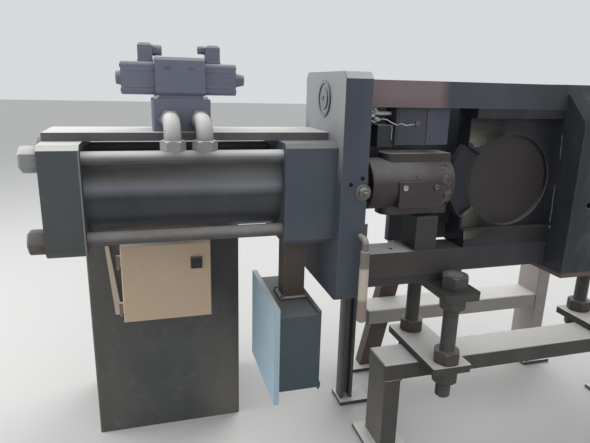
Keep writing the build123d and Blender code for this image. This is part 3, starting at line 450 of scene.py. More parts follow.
def column_recolour(paint, base, cloud, fine):
    """A brown-grey left side, a dark green-grey middle and a paler foot on the right."""
    blotch = paint.noise(6.0, 6.0, 0.7, shift=(5.0, 2.0, 0.0))
    place = paint.drift(X, blotch, 0.12)
    base = paint.mix(place.fall(*COLUMN_MIDDLE[:2]) * 0.7, base, COLUMN_BROWN)
    foot = place.ramp(*COLUMN_MIDDLE[2:]) * paint.drift(Z, blotch, 0.3).fall(0.12, 0.42)
    base = paint.mix(foot.held() * 0.8, base, COLUMN_FOOT)
    scuff = (paint.noise(24.0, 6.0, 0.7, shift=(0.0, 3.0, 7.0)) + fine * 0.2).ramp(0.66, 0.80)
    return paint.mix(scuff * 0.35, base, COLUMN_SCUFF)


ELBOW_ROOT = (-0.0425, -0.0410)
ELBOW_ROOT_NUT = (0.075, 0.080, 0.098)


def elbow_recolour(paint, base, cloud, fine):
    """The elbows are grey with dust, and their root nuts as dark as the manifold."""
    return paint.mix(paint.along(Y).ramp(*ELBOW_ROOT), base, ELBOW_ROOT_NUT)


def elbow_dust(paint, cloud):
    """Fluffy dust lies on the bends, and little of it on the root nuts."""
    return 1.0 - paint.along(Y).ramp(*ELBOW_ROOT) * 0.8


BEAM_TURN = (0.058, 0.084)
BEAM_BLUE = (0.048, 0.054, 0.074)
BEAM_RUST = (0.150, 0.102, 0.092)
BEAM_SMOKE = (0.028, 0.032, 0.040)
LOW_BEAM_BLUE = (0.034, 0.034, 0.040)


def beam_recolour(paint, base, cloud, fine):
    """Brown primer that gives way to blue-grey paint along the beam, with a smoky right end."""
    share = paint.drift(X, cloud, 0.05).ramp(*BEAM_TURN)
    base = paint.mix(share, base, BEAM_BLUE)
    rusty = (1.0 - share) * paint.drift(Z, cloud, 0.04).fall(0.945, 0.965)
    base = paint.mix(rusty * 0.6, base, BEAM_RUST)
    return paint.mix(paint.drift(X, cloud, 0.16).ramp(0.22, 0.40) * 0.85, base, BEAM_SMOKE)


def low_beam_recolour(paint, base, cloud, fine):
    """The lower beam turns from brown to blue-black."""
    return paint.mix(paint.drift(X, cloud, 0.12).ramp(0.02, 0.20), base, LOW_BEAM_BLUE)


def low_beam_dust(paint, cloud):
    """White dust covers the lower beam's top only at its left end."""
    return 1.0 - paint.along(X).ramp(0.010, 0.034) * 0.92


HOUSING_SMEAR = (0.090, 0.102, 0.098)
HOUSING_RUST = (0.125, 0.085, 0.072)
HOUSING_RUST_TOP = 0.518
SMEAR_REACH = (0.424, 0.56)


def housing_recolour(paint, base, cloud, fine):
    """Grey-green smears towards the far end, and a rusty strip along the lower edge."""
    streak = paint.noise(13.0, 6.0, 0.72, stretch=(1.6, 1.6, 0.7), shift=(2.0, 0.0, 1.0))
    share = paint.drift(X, streak, 0.22).ramp(*SMEAR_REACH)
    base = paint.mix((share * (streak + fine * 0.25).ramp(0.52, 0.82)).held() * 0.9, base, HOUSING_SMEAR)
    low = paint.drift(Z, cloud, 0.02).fall(HOUSING_RUST_TOP - 0.004, HOUSING_RUST_TOP)
    return paint.mix(low * 0.85, base, HOUSING_RUST)


def housing_dust(paint, cloud):
    """Dust lies on the housing's top and not on its chamfered corner."""
    return paint.facing(UP).ramp(0.80, 0.95)


POCKET_PLACES = (0.302, 0.602)
POCKET_RADIUS = 0.1175
GREASE = (0.040, 0.038, 0.032)


def slide_recolour(paint, base, cloud, fine):
    """Scorched plastic in a ring around each pocket, and greasy patches."""
    height = paint.along(Z) - AXIS_HEIGHT
    for middle in POCKET_PLACES:
        across = paint.along(X) - middle
        distance = (across * across + height * height).root() + (cloud - 0.5) * 0.03
        base = paint.mix((distance - POCKET_RADIUS).fall(0.004, 0.022) * 0.5, base, GREASE)
    return paint.mix((cloud - 0.5).ramp(0.0, 0.2) * 0.4, base, GREASE)


PIN_BOTTOM = 0.905
PIN_WHITE = (0.72, 0.72, 0.70)


def pin_recolour(paint, base, cloud, fine):
    """The white pin above the dark switch head."""
    return paint.mix(paint.along(Z).above(PIN_BOTTOM), base, PIN_WHITE)


def rail_dust(paint, cloud):
    """White dust lies thick on the coupling's top rail."""
    left = 1.4 - paint.along(X).ramp(0.0, 0.06) * 0.7
    return (paint.along(Z).ramp(0.812, 0.822) * 0.75 + 0.25) * left


SLEEVE_BANDS = (0.516, 0.592)
SLEEVE_BEIGE = (0.46, 0.40, 0.33)
SLEEVE_BROWN = (0.23, 0.18, 0.155)


def sleeve_recolour(paint, base, cloud, fine):
    """The probe's sleeve is grey-brown above, pale beige in the middle and pinkish brown below."""
    height = paint.drift(Z, cloud, 0.02)
    base = paint.mix(height.fall(SLEEVE_BANDS[1], SLEEVE_BANDS[1] + 0.006), base, SLEEVE_BEIGE)
    return paint.mix(height.fall(SLEEVE_BANDS[0], SLEEVE_BANDS[0] + 0.010), base, SLEEVE_BROWN)


def plate_dust(paint, cloud):
    """White dust covers the lower clamp plates, and the upper ones stay dark."""
    return paint.along(Z).below(0.40) * 1.3 + 0.05


HINGE_SIDE = -0.678
DOOR_STRIPE = (0.55, 0.47, 0.37)
DOOR_GAP_SHADE = (0.10, 0.085, 0.070)


def door_side_recolour(paint, base, cloud, fine):
    """Painted shade in the gap beside the beige door, over its hinge side, and a paler stripe down the
    door's left edge.
    """
    base = paint.mix(paint.along(X).ramp(HINGE_SIDE + 0.004, HINGE_SIDE) * 0.5, base, DOOR_STRIPE)
    # Painted shade down the dark gap at the door's left.
    return paint.mix(paint.along(X).below(HINGE_SIDE) * 0.85, base, DOOR_GAP_SHADE)


LEG_WEB = 0.215
LEG_WEB_GREY = (0.17, 0.17, 0.165)


def leg_recolour(paint, base, cloud, fine):
    """The rear leg's web is paler than its flanges."""
    return paint.mix(paint.along(Y).above(LEG_WEB) * 0.85, base, LEG_WEB_GREY)


TABLE_FRONT_SHADE = (0.044, 0.040, 0.038)
TABLE_LEFT_LIGHT = (0.17, 0.16, 0.15)


def table_recolour(paint, base, cloud, fine):
    """Painted shade on the fronts of the table frame, and painted light on its left sides."""
    # Painted shade on the front faces and painted light on the left faces.
    base = paint.mix(paint.facing(FRONT).ramp(0.5, 0.95) * 0.75, base, TABLE_FRONT_SHADE)
    return paint.mix(paint.facing(LEFT).ramp(0.5, 0.95) * (0.3 + cloud * 0.4), base, TABLE_LEFT_LIGHT)


# Where on the pocket's edge the painted highlight falls, and its colour.
HIGHLIGHT_TOWARDS = (0.80, -0.60)
POCKET_EDGE_HIGHLIGHT = (0.20, 0.20, 0.195)


def crescent_recolour(paint, base, cloud, fine):
    """A painted highlight on the pocket's edge, only at its lower right."""
    across = (paint.along(X) - POCKET_PLACES[0]) / POCKET_RADIUS
    height = (paint.along(Z) - AXIS_HEIGHT) / POCKET_RADIUS
    side = (across * HIGHLIGHT_TOWARDS[0] + height * HIGHLIGHT_TOWARDS[1]).ramp(0.45, 0.85)
    return paint.mix(side, base, POCKET_EDGE_HIGHLIGHT)


# What all colours and all lengths that a user would change have in common.
COLOUR = {"subtype": "COLOR", "size": 3, "min": 0.0, "max": 1.0}
LENGTH = {"subtype": "DISTANCE", "unit": "LENGTH"}


class StationLook(bpy.types.PropertyGroup):
    """Colours that a user would change."""

    enamel: bpy.props.FloatVectorProperty(
        name="Cylinder enamel", description="Blue-grey enamel of the cylinder blocks and the crosshead",
        default=(0.049, 0.059, 0.080), **COLOUR)
    housing: bpy.props.FloatVectorProperty(
        name="Housing paint", description="Dark paint of the screen housing and the rear wall",
        default=(0.018, 0.022, 0.028), **COLOUR)
    barrel: bpy.props.FloatVectorProperty(
        name="Barrel paint", description="Black paint of the cylinder barrel",
        default=(0.028, 0.030, 0.034), **COLOUR)
    column: bpy.props.FloatVectorProperty(
        name="Column paint", description="Dark grey-green paint of the column",
        default=(0.060, 0.064, 0.061), **COLOUR)
    valve: bpy.props.FloatVectorProperty(
        name="Valve", description="Dusty black of the valve and its coils",
        default=(0.140, 0.152, 0.205), **COLOUR)
    enclosure: bpy.props.FloatVectorProperty(
        name="Enclosure", description="Beige powder coat of the control enclosure",
        default=(0.53, 0.395, 0.275), **COLOUR)
    box: bpy.props.FloatVectorProperty(
        name="Junction box", description="Blue enamel of the junction box",
        default=(0.040, 0.062, 0.076), **COLOUR)
    cover: bpy.props.FloatVectorProperty(
        name="Box cover", description="Lighter blue enamel of the junction box cover",
        default=(0.33, 0.45, 0.53), **COLOUR)
    table: bpy.props.FloatVectorProperty(
        name="Table paint", description="Grey-brown paint of the table frame",
        default=(0.085, 0.078, 0.072), **COLOUR)
    dust: bpy.props.FloatVectorProperty(
        name="Dust", description="Pale plastic dust that lies on everything",
        default=(0.74, 0.73, 0.70), **COLOUR)


class StationSizes(bpy.types.PropertyGroup):
    """Sizes of the small parts that a user would change."""

    screw_head: bpy.props.FloatProperty(
        name="Cap screw head", description="Head diameter of the valve's cap screws",
        min=0.004, max=0.02, default=0.010, **LENGTH)
    thread_pitch: bpy.props.FloatProperty(
        name="Stud pitch", description="Pitch of the thread on the levelling studs",
        min=0.002, max=0.008, default=0.003, **LENGTH)
    weld: bpy.props.FloatProperty(
        name="Weld bead", description="Thickness of the weld beads",
        min=0.003, max=0.012, default=0.005, **LENGTH)
    rib: bpy.props.FloatProperty(
        name="Coil rib", description="Height of the ribs along the solenoids",
        min=0.002, max=0.01, default=0.0035, **LENGTH)


# Each finish: its key, maker, material, colour or the user's colour, dust on top, thin dust, other
# settings and the CAD nodes that wear it.
FINISHES = (
    ("enamel", worn_paint, "cylinder_enamel", "enamel", 0.85, 0.05,
     {"recolour": enamel_recolour, "where": enamel_dust_and_light}, ("end_cap", "head", "crosshead", "ring_plug")),
    ("housing", worn_paint, "housing_paint", "housing", 0.5, 0.03,
     {"recolour": housing_recolour, "where": housing_dust},
     ("housing_front", "housing_back", "housing_top", "housing_bottom")),
    ("wall", worn_paint, "wall_paint", (0.105, 0.112, 0.130), 0.5, 0.04, {},
     ("rear_wall_upper", "rear_wall_lower")),
    ("column", worn_paint, "column_paint", "column", 0.6, 0.06, {"recolour": column_recolour},
     ("column", "carrier_bracket")),
    ("barrel", worn_paint, "barrel_paint", "barrel", 0.10, 0.05,
     {"gloss": 0.32, "recolour": barrel_recolour}, ("barrel",)),
    ("bar", worn_paint, "bar_paint", (0.075, 0.075, 0.082), 1.3, 0.12, {}, ("valve_bar",)),
    ("rod", worn_paint, "tie_rod_paint", (0.20, 0.205, 0.21), 1.3, 0.10,
     {"recolour": rod_recolour, "where": rod_dust}, ("tie_rods",)),
    ("valve", worn_paint, "valve_black", "valve", 0.40, 0.07, {"gloss": 0.6},
     ("valve_body", "valve_spacer", "left_solenoid", "right_solenoid", "manifold", "left_cable_plug",
      "right_cable_plug")),
    ("elbow", worn_paint, "elbow_grey", (0.21, 0.21, 0.215), 1.0, 0.25,
     {"recolour": elbow_recolour, "where": elbow_dust}, ("left_hose_elbow", "right_hose_elbow")),
    ("switch", worn_paint, "switch_black", (0.054, 0.058, 0.076), 0.35, 0.04,
     {"chip": (0.08, 0.08, 0.085)}, ("limit_switch",)),
    ("switch_block", worn_paint, "switch_block_paint", (0.064, 0.069, 0.096), 0.4, 0.05, {},
     ("switch_block",)),
    ("switch_head", worn_paint, "switch_head_paint", (0.030, 0.032, 0.040), 0.3, 0.04,
     {"recolour": pin_recolour}, ("switch_head",)),
    ("nut", bare_steel, "nut_steel", (0.075, 0.067, 0.062), 0.20, 0.05, {"rust": 0.5, "metallic": 0.2},
     ("levelling_nuts",)),
    ("plate", bare_steel, "plate_steel", (0.060, 0.058, 0.054), 1.0, 0.05,
     {"rust": 0.4, "metallic": 0.2, "where": plate_dust}, ("clamp_plates",)),
    ("end_nut", bare_steel, "end_nut_steel", (0.26, 0.265, 0.27), 0.95, 0.12,
     {"metallic": 0.2, "recolour": nut_recolour, "where": rod_dust}, ("tie_rod_nuts",)),
    ("stud", bare_steel, "stud_steel", (0.022, 0.021, 0.020), 0.4, 0.02, {"rust": 0.5, "metallic": 0.25},
     ("levelling_studs",)),
    ("coupling", bare_steel, "coupling_steel", (0.060, 0.050, 0.054), 0.95, 0.06,
     {"rust": 0.35, "metallic": 0.2, "where": rail_dust}, ("coupling_upper", "coupling_lower")),
    ("ram", bare_steel, "rod_steel", (0.10, 0.10, 0.10), 0.3, 0.1, {"gloss": 0.25, "metallic": 0.8},
     ("piston_rod",)),
    ("beam", worn_paint, "beam_primer", (0.185, 0.140, 0.148), 0.42, 0.05,
     {"rust": 0.3, "recolour": beam_recolour}, ("top_beam",)),
    ("low_beam", worn_paint, "low_beam_primer", (0.054, 0.046, 0.043), 1.0, 0.03,
     {"rust": 0.4, "recolour": low_beam_recolour, "where": low_beam_dust}, ("bottom_beam",)),
    ("post", worn_paint, "post_primer", (0.070, 0.055, 0.045), 0.6, 0.05, {"rust": 0.5},
     ("junction_post",)),
    ("guide_block", worn_paint, "guide_block_paint", (0.037, 0.036, 0.038), 0.08, 0.04, {"rust": 0.2},
     ("guide_block",)),
    ("sole", worn_paint, "sole_primer", (0.038, 0.034, 0.043), 0.3, 0.03, {}, ("sole_plate",)),
    ("brace", worn_paint, "brace_primer", (0.085, 0.060, 0.052), 0.5, 0.06, {"rust": 0.7},
     ("rear_brace",)),
    ("slide", bare_steel, "slide_steel", (0.024, 0.028, 0.040), 0.25, 0.02,
     {"rust": 0.12, "gloss": 0.38, "metallic": 0.25, "recolour": slide_recolour}, ("slide_plate",)),
    ("guide", bare_steel, "guide_steel", (0.028, 0.030, 0.034), 0.12, 0.03,
     {"rust": 0.2, "metallic": 0.2}, ("top_guide_strip", "bottom_guide_strip")),
    ("screen", bare_steel, "scorched_screen", (0.050, 0.042, 0.047), 0.15, 0.02,
     {"rust": 0.12, "gloss": 0.5, "metallic": 0.1}, ("open_breaker_plate", "working_breaker_plate")),
    ("table", worn_paint, "table_paint", "table", 1.3, 0.08,
     {"chip": (0.085, 0.082, 0.078), "recolour": table_recolour},
     ("table_posts", "table_feet", "table_front_rail")),
    ("rear_table", pale_paint, "rear_table_paint", "table", 1.3, 0.12, {},
     ("table_rear_rail", "rear_upright", "rear_brackets")),
    ("leg", worn_paint, "rear_leg_paint", (0.055, 0.055, 0.054), 0.7, 0.08, {"recolour": leg_recolour},
     ("rear_leg",)),
    ("beige", worn_paint, "beige_enamel", "enclosure", 0.5, 0.06,
     {"chip": (0.25, 0.19, 0.13), "recolour": door_side_recolour}, ("enclosure_body", "enclosure_door")),
    ("strip", worn_paint, "trunking_beige", (0.50, 0.43, 0.35), 0.4, 0.10, {}, ("trunking_strip",)),
    ("box", worn_paint, "blue_enamel", "box", 0.20, 0.04, {"tint": (0.085, 0.085, 0.080)},
     ("junction_box",)),
    ("cover", worn_paint, "cover_enamel", "cover", 0.7, 0.08, {}, ("junction_cover",)),
    ("black", worn_paint, "black_plastic", (0.022, 0.022, 0.024), 0.3, 0.05, {}, ("door_latch",)),
    ("sleeve", worn_paint, "sleeve_paint", (0.165, 0.138, 0.125), 0.5, 0.10,
     {"recolour": sleeve_recolour}, ("temperature_probe",)),
    ("screw", bare_steel, "screw_steel", (0.13, 0.126, 0.122), 0.5, 0.12, {"metallic": 0.4}, ()),
    ("bright_screw", bare_steel, "bright_screw", (0.48, 0.46, 0.44), 0.5, 0.2, {"metallic": 0.3}, ()),
    ("button", bare_steel, "button_red_brown", (0.15, 0.105, 0.105), 0.3, 0.1, {"metallic": 0.1}, ()),
    ("edge_shine", worn_paint, "pocket_edge_shine", (0.030, 0.033, 0.042), 0.0, 0.0,
     {"recolour": crescent_recolour}, ()),
)


class STATION_OT_finishes(bpy.types.Operator):
    """Gives every CAD node its finish"""

    bl_idname = "station.finishes"
    bl_label = "Finishes"

    def execute(self, context):
        look = context.scene.station_look
        dust = tuple(look.dust)
        for key, maker, name, colour, top, thin, settings, wearers in FINISHES:
            if isinstance(colour, str):
                colour = tuple(getattr(look, colour))
            finishes[key] = maker(name, colour, dust, top, thin, **settings)
            for wearer in wearers:
                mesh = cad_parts[wearer].data
                mesh.materials.clear()
                mesh.materials.append(finishes[key])
        finishes["residue"] = residue_film("dried_plastic", (0.235, 0.235, 0.175), (0.072, 0.074, 0.062))
        finishes["crumbs"] = crumbly("crumbled_plastic", (0.215, 0.205, 0.180), (0.070, 0.065, 0.058), 60.0)
        finishes["fluff"] = crumbly("white_fluff", (0.85, 0.85, 0.83), (0.55, 0.55, 0.54), 120.0)
        finishes["thread_line"] = crumbly("dust_line", (0.17, 0.17, 0.165), (0.06, 0.06, 0.058), 80.0)
        finishes["hole"] = dark_hole("open_hole")
        return {"FINISHED"}


def alone(piece):
    """Makes a piece the only selected and the active object."""
    bpy.ops.object.select_all(action="DESELECT")
    piece.select_set(True)
    bpy.context.view_layer.objects.active = piece


def primitive(name, add, place, axis=UP, scale=(1.0, 1.0, 1.0), **sizes):
    """A new primitive whose own Z lies along an axis, with its place put into its mesh."""
    bpy.ops.object.select_all(action="DESELECT")
    add(location=place, rotation=Vector(axis).to_track_quat("Z", "Y").to_euler(), **sizes)
    piece = bpy.context.object
    piece.name = name
    piece.data.name = name
    piece.scale = scale
    bpy.ops.object.transform_apply(location=True, rotation=True, scale=True)
    return piece


def block(name, low, high):
    """A box between two corners."""
    low = Vector(low)
    high = Vector(high)
    return primitive(name, bpy.ops.mesh.primitive_cube_add, (low + high) / 2, scale=high - low, size=1.0)


def drum(name, diameter, length, place=(0.0, 0.0, 0.0), axis=UP, sides=28):
    """A round bar that starts at a place and runs along an axis."""
    middle = Vector(place) + Vector(axis).normalized() * length / 2
    return primitive(name, bpy.ops.mesh.primitive_cylinder_add, middle, axis, vertices=sides,
                     radius=diameter / 2, depth=length)


def ring(name, major, minor, place, axis):
    """A round ring about an axis."""
    return primitive(name, bpy.ops.mesh.primitive_torus_add, place, axis, major_segments=64,
                     minor_segments=10, major_radius=major, minor_radius=minor)


def enter_edit(piece, action):
    """Enters edit mode with all faces of a piece, or none of them, selected."""
    alone(piece)
    bpy.ops.object.mode_set(mode="EDIT")
    bpy.ops.mesh.select_mode(type="FACE")
    bpy.ops.mesh.select_all(action=action)


def leave_edit():
    """Goes back to object mode."""
    bpy.ops.object.mode_set(mode="OBJECT")


def turn_outwards():
    """Makes all faces of the piece in edit mode look outwards, and goes back to object mode."""
    bpy.ops.mesh.select_all(action="SELECT")
    bpy.ops.mesh.normals_make_consistent(inside=False)
    leave_edit()


LOOKS_THERE = 0.9


def choose_faces(piece, direction):
    """Enters edit mode with only the faces that look in a direction selected."""
    enter_edit(piece, "DESELECT")
    leave_edit()
    for face in piece.data.polygons:
        face.select = face.normal.dot(direction) > LOOKS_THERE
    bpy.ops.object.mode_set(mode="EDIT")


def push(distance):
    """Extrudes the chosen faces by a distance given as a vector."""
    bpy.ops.mesh.extrude_region_move(TRANSFORM_OT_translate={"value": tuple(distance)})


def recess(piece, direction, rim, depth):
    """Sinks the faces that look in a direction, inside a flat rim."""
    choose_faces(piece, direction)
    bpy.ops.mesh.inset(thickness=rim)
    push(direction * -depth)
    leave_edit()


def crown(piece, direction, rim, rise):
    """Lifts the faces that look in a direction, inside a sloping rim."""
    choose_faces(piece, direction)
    bpy.ops.mesh.inset(thickness=rim)
    bpy.ops.transform.translate(value=tuple(direction * rise))
    leave_edit()


def apply_modifier(piece, kind, **settings):
    """Adds a modifier with its settings and applies it."""
    modifier = piece.modifiers.new("shape", kind)
    for key, value in settings.items():
        setattr(modifier, key, value)
    alone(piece)
    bpy.ops.object.modifier_apply(modifier=modifier.name)


def soften(piece, width, segments=2):
    """Rounds the sharp edges of a piece."""
    apply_modifier(piece, "BEVEL", width=width, segments=segments, limit_method="ANGLE",
                   angle_limit=math.radians(30.0))
    return piece


def join(name, pieces):
    """Joins pieces into one."""
    alone(pieces[0])
    for piece in pieces:
        piece.select_set(True)
    if len(pieces) > 1:
        bpy.ops.object.join()
    pieces[0].name = name
    pieces[0].data.name = name
    return pieces[0]


def at(place, axis=UP, spin=0.0):
    """Where a model that stands on Z goes: its foot at a place and its top along an axis."""
    turn = Vector(axis).to_track_quat("Z", "Y").to_matrix().to_4x4()
    return Matrix.Translation(place) @ turn @ Matrix.Rotation(spin, 4, "Z")


def settle(piece, finish, body="machine"):
    """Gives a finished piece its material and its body."""
    piece.data.materials.clear()
    piece.data.materials.append(finishes[finish])
    alone(piece)
    bpy.ops.object.shade_smooth_by_angle(angle=math.radians(35.0))
    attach(piece, body)
    return piece


def repeat(name, model, places, finish, body="machine"):
    """Copies a model to each place, and joins and finishes the copies as one piece."""
    copies = []
    for place in places:
        copy = model.copy()
        copy.data = model.data.copy()
        copy.data.transform(place)
        bpy.context.scene.collection.objects.link(copy)
        copies.append(copy)
    bpy.data.objects.remove(model)
    return settle(join(name, copies), finish, body)


def low_corner(node):
    """A node's corner at its left, front and foot."""
    return Vector(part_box(node)[0])


def high_corner(node):
    """A node's corner at its right, back and top."""
    return Vector(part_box(node)[1])


def corners(node):
    """The two corners of a node."""
    return low_corner(node), high_corner(node)


FLATS_SHARE = math.cos(math.radians(30.0))
# How far the edges of each small part are rounded.
ROUNDING = {"rib": 0.0008, "collar": 0.001, "gland": 0.0012, "rim": 0.001, "ferrule": 0.0015,
            "pin": 0.002, "cover": 0.0008, "button": 0.0018, "cap": 0.003, "lock": 0.0006,
            "nut": 0.0015, "throat": 0.003, "foot": 0.0012, "flange": 0.0015}


def cap_screw(diameter, height):
    """A socket cap screw's head on Z, with its key hole pushed in."""
    head = drum("screw", diameter, height, sides=24)
    recess(head, UP, diameter * 0.24, height * 0.6)
    return soften(head, diameter * 0.05)


def hexagon_screw(flats, height, washer_share=1.7):
    """A hexagon head with a crowned top on a washer, on Z."""
    washer_height = height * 0.25
    washer = soften(drum("washer", flats * washer_share, washer_height, sides=32), washer_height * 0.3)
    head = drum("head", flats / FLATS_SHARE, height, (0.0, 0.0, washer_height), sides=6)
    crown(head, UP, flats * 0.08, height * 0.14)
    return join("screw", [washer, soften(head, flats * 0.02, 1)])


def hexagon_nut(flats, height):
    """A hexagon nut on Z with a crowned top."""
    nut = drum("nut", flats / FLATS_SHARE, height * 0.88, sides=6)
    crown(nut, UP, flats * 0.09, height * 0.12)
    return soften(nut, flats * 0.02)


def ridged_bar(outer, inner, pitch, length, sides):
    """A bar on Z with ring ridges: one valley, mirrored and repeated along it."""
    bar = primitive("ridge", bpy.ops.mesh.primitive_cone_add, (0.0, 0.0, pitch / 4), vertices=sides,
                    radius1=inner / 2, radius2=outer / 2, depth=pitch / 2, end_fill_type="NOTHING")
    apply_modifier(bar, "MIRROR", use_axis=(False, False, True), use_mirror_merge=True)
    apply_modifier(bar, "ARRAY", count=max(1, round(length / pitch)), use_relative_offset=False,
                   use_constant_offset=True, constant_offset_displace=(0.0, 0.0, pitch),
                   use_merge_vertices=True, merge_threshold=pitch * 0.02)
    enter_edit(bar, "SELECT")
    bpy.ops.transform.translate(value=(0.0, 0.0, pitch / 2))
    bpy.ops.mesh.fill_holes(sides=0)
    turn_outwards()
    return bar


WELD_VALLEY = 0.8
WELD_STEP = 0.55
WELD_SIDES = 10


def weld_beads(name, runs, finish):
    """Rippled weld beads, each between two ends."""
    size = bpy.context.scene.station_sizes.weld
    beads = []
    for start, end in runs:
        path = Vector(end) - Vector(start)
        bead = ridged_bar(size, size * WELD_VALLEY, size * WELD_STEP, path.length, WELD_SIDES)
        bead.data.transform(at(start, path))
        beads.append(bead)
    settle(join(name, beads), finish)


def clouds(scale):
    """A cloud texture that pushes a surface about."""
    texture = bpy.data.textures.new("clouds", "CLOUDS")
    texture.noise_scale = scale
    return texture


def clump(size, seed, rough):
    """An irregular lump about its own middle."""
    lump = primitive("lump", bpy.ops.mesh.primitive_ico_sphere_add, (0.0, 0.0, 0.0), subdivisions=3,
                     radius=0.5)
    drift = Vector((seed * 1.7, seed * 0.9, seed * 2.3))
    lump.data.transform(Matrix.Translation(drift))
    apply_modifier(lump, "DISPLACE", texture=clouds(0.35), strength=rough, mid_level=0.5)
    lump.data.transform(Matrix.Diagonal((*size, 1.0)) @ Matrix.Translation(-drift))
    return lump


FILM_THICKNESS = 0.0003
FILM_RAGGED = 0.003
FILM_GRID = 40


def film(name, outline, face_y):
    """A thin flat patch of residue on a face that looks to the front, with a ragged outline."""
    xs = [point[0] for point in outline]
    zs = [point[1] for point in outline]
    middle = Vector((sum(xs) / len(xs), face_y, sum(zs) / len(zs)))
    span = max(max(xs) - min(xs), max(zs) - min(zs)) * 1.3
    patch = primitive(name, bpy.ops.mesh.primitive_grid_add, middle, FRONT, x_subdivisions=FILM_GRID,
                      y_subdivisions=FILM_GRID, size=span)
    for here, there in zip(outline, outline[1:] + outline[:1]):
        edge = Vector((there[0] - here[0], 0.0, there[1] - here[1]))
        outward = edge.cross(FRONT)
        point = Vector((here[0], face_y, here[1]))
        if outward.dot(middle - point) > 0:
            outward = -outward
        enter_edit(patch, "SELECT")
        bpy.ops.mesh.bisect(plane_co=point, plane_no=outward, clear_outer=True)
        leave_edit()
    texture = clouds(FILM_RAGGED * 2.5)
    for direction in ("X", "Z"):
        apply_modifier(patch, "DISPLACE", texture=texture, strength=FILM_RAGGED, mid_level=0.5,
                       direction=direction, space="GLOBAL")
    apply_modifier(patch, "SOLIDIFY", thickness=FILM_THICKNESS, offset=1.0)
    return patch


def thread(name, points, diameter):
    """A thin line of fluff or plastic: a round face extruded from point to point."""
    start = Vector(points[0])
    line = primitive(name, bpy.ops.mesh.primitive_circle_add, start, Vector(points[1]) - start,
                     vertices=8, radius=diameter / 2, fill_type="NGON")
    enter_edit(line, "SELECT")
    for here, there in zip(points, points[1:]):
        push(Vector(there) - Vector(here))
    turn_outwards()
    return line


VALVE_SPOT_SHARES = (0.24, 0.73)
VALVE_SPOT_DROP = 0.0215
VALVE_SPOT_PROUD = 0.0002
VALVE_SPOT_SHAPE = (1.25, 0.45, 0.4, 1.0)
VALVE_SPOT_HEIGHT = 0.004
COIL_RIBS = (0.014, -0.0185)
COIL_RIB_HALF = 0.0010
COIL_RIB_START = 0.003
COIL_ROUND = 0.009
COIL_REACH = {"left_solenoid": 0.068, "right_solenoid": 0.067}
COIL_SCREW = (0.0075, 0.0028)
COIL_SCREW_OFFSET = 0.0245
COIL_SCREW_SUNK = 0.0012
MANIFOLD_SCREW_INSET = 0.010
MANIFOLD_SCREW_HEIGHT = 0.006
# Each gland: its plug, direction, diameter, reach and drop below the plug's top.
PLUG_GLANDS = (("left_cable_plug", RIGHT, 0.023, 0.019, 0.014),
               ("right_cable_plug", LEFT, 0.018, 0.016, 0.010))
GLAND_THROAT = 0.006
PLUG_RIM_PROUD = 0.0012
PLUG_RIM_HEIGHT = 0.005


class STATION_OT_valve(bpy.types.Operator):
    """Makes the ribs, screws and glands of the valve and its manifold"""

    bl_idname = "station.valve"
    bl_label = "Valve details"

    def execute(self, context):
        sizes = context.scene.station_sizes
        body_low, body_high = corners("valve_body")
        places = []
        for share in VALVE_SPOT_SHARES:
            spot = (body_low.x + (body_high.x - body_low.x) * share, body_low.y - VALVE_SPOT_PROUD,
                    body_high.z - VALVE_SPOT_DROP)
            places.append(at(spot, FRONT) @ Matrix.Diagonal(VALVE_SPOT_SHAPE))
        repeat("valve_mounting_screws", cap_screw(sizes.screw_head, VALVE_SPOT_HEIGHT), places, "screw")

        ribs = []
        places = []
        for coil, side in (("left_solenoid", LEFT), ("right_solenoid", RIGHT)):
            low, high = corners(coil)
            inner = body_low.x if side is LEFT else body_high.x
            centre = (low + high) / 2
            half = (high.z - low.z) / 2
            end = inner + side.x * COIL_REACH[coil]
            xs = sorted((inner + side.x * COIL_RIB_START, end - side.x * COIL_ROUND))
            for offset, y in product(COIL_RIBS, (centre.y - half, centre.y + half)):
                rib = block("rib", (xs[0], y - COIL_RIB_HALF, centre.z + offset),
                            (xs[1], y + COIL_RIB_HALF, centre.z + offset + sizes.rib))
                ribs.append(soften(rib, ROUNDING["rib"]))
            for y, z in product((-COIL_SCREW_OFFSET, COIL_SCREW_OFFSET), repeat=2):
                places.append(at((end - side.x * COIL_SCREW_SUNK, centre.y + y, centre.z + z), side))
        settle(join("coil_ribs", ribs), "valve")
        repeat("coil_screws", cap_screw(*COIL_SCREW), places, "black")

        low, high = corners("manifold")
        inset = MANIFOLD_SCREW_INSET
        places = [at((x, y, high.z)) for x, y in product((low.x + inset, high.x - inset),
                                                         (low.y + inset, high.y - inset))]
        repeat("manifold_screws", cap_screw(sizes.screw_head, MANIFOLD_SCREW_HEIGHT), places,
               "bright_screw")

        glands = []
        for plug, axis, diameter, reach, drop in PLUG_GLANDS:
            low, high = corners(plug)
            place = Vector((high.x if axis.x > 0.0 else low.x, (low.y + high.y) / 2, high.z - drop))
            collar = drum("collar", diameter, reach * 0.4, place, axis, 6)
            nut = drum("nut", diameter * 0.92, reach * 0.6, place + axis * reach * 0.4, axis)
            recess(nut, axis, diameter * 0.17, GLAND_THROAT)
            proud = Vector((PLUG_RIM_PROUD, PLUG_RIM_PROUD, 0.0))
            rim = block("rim", low - proud, Vector((high.x, high.y, low.z + PLUG_RIM_HEIGHT)) + proud)
            glands += [soften(collar, ROUNDING["collar"]), soften(nut, ROUNDING["gland"]),
                       soften(rim, ROUNDING["rim"])]
        settle(join("plug_glands", glands), "valve")
        return {"FINISHED"}


END_NUT_FLATS = 0.045
TIE_ROD_RADIUS = 0.014
LOWER_NUT_TURN = math.radians(30.0)
FERRULE = (0.038, 0.006)
FERRULE_REACH = 0.020
FERRULE_HEIGHT = 0.024


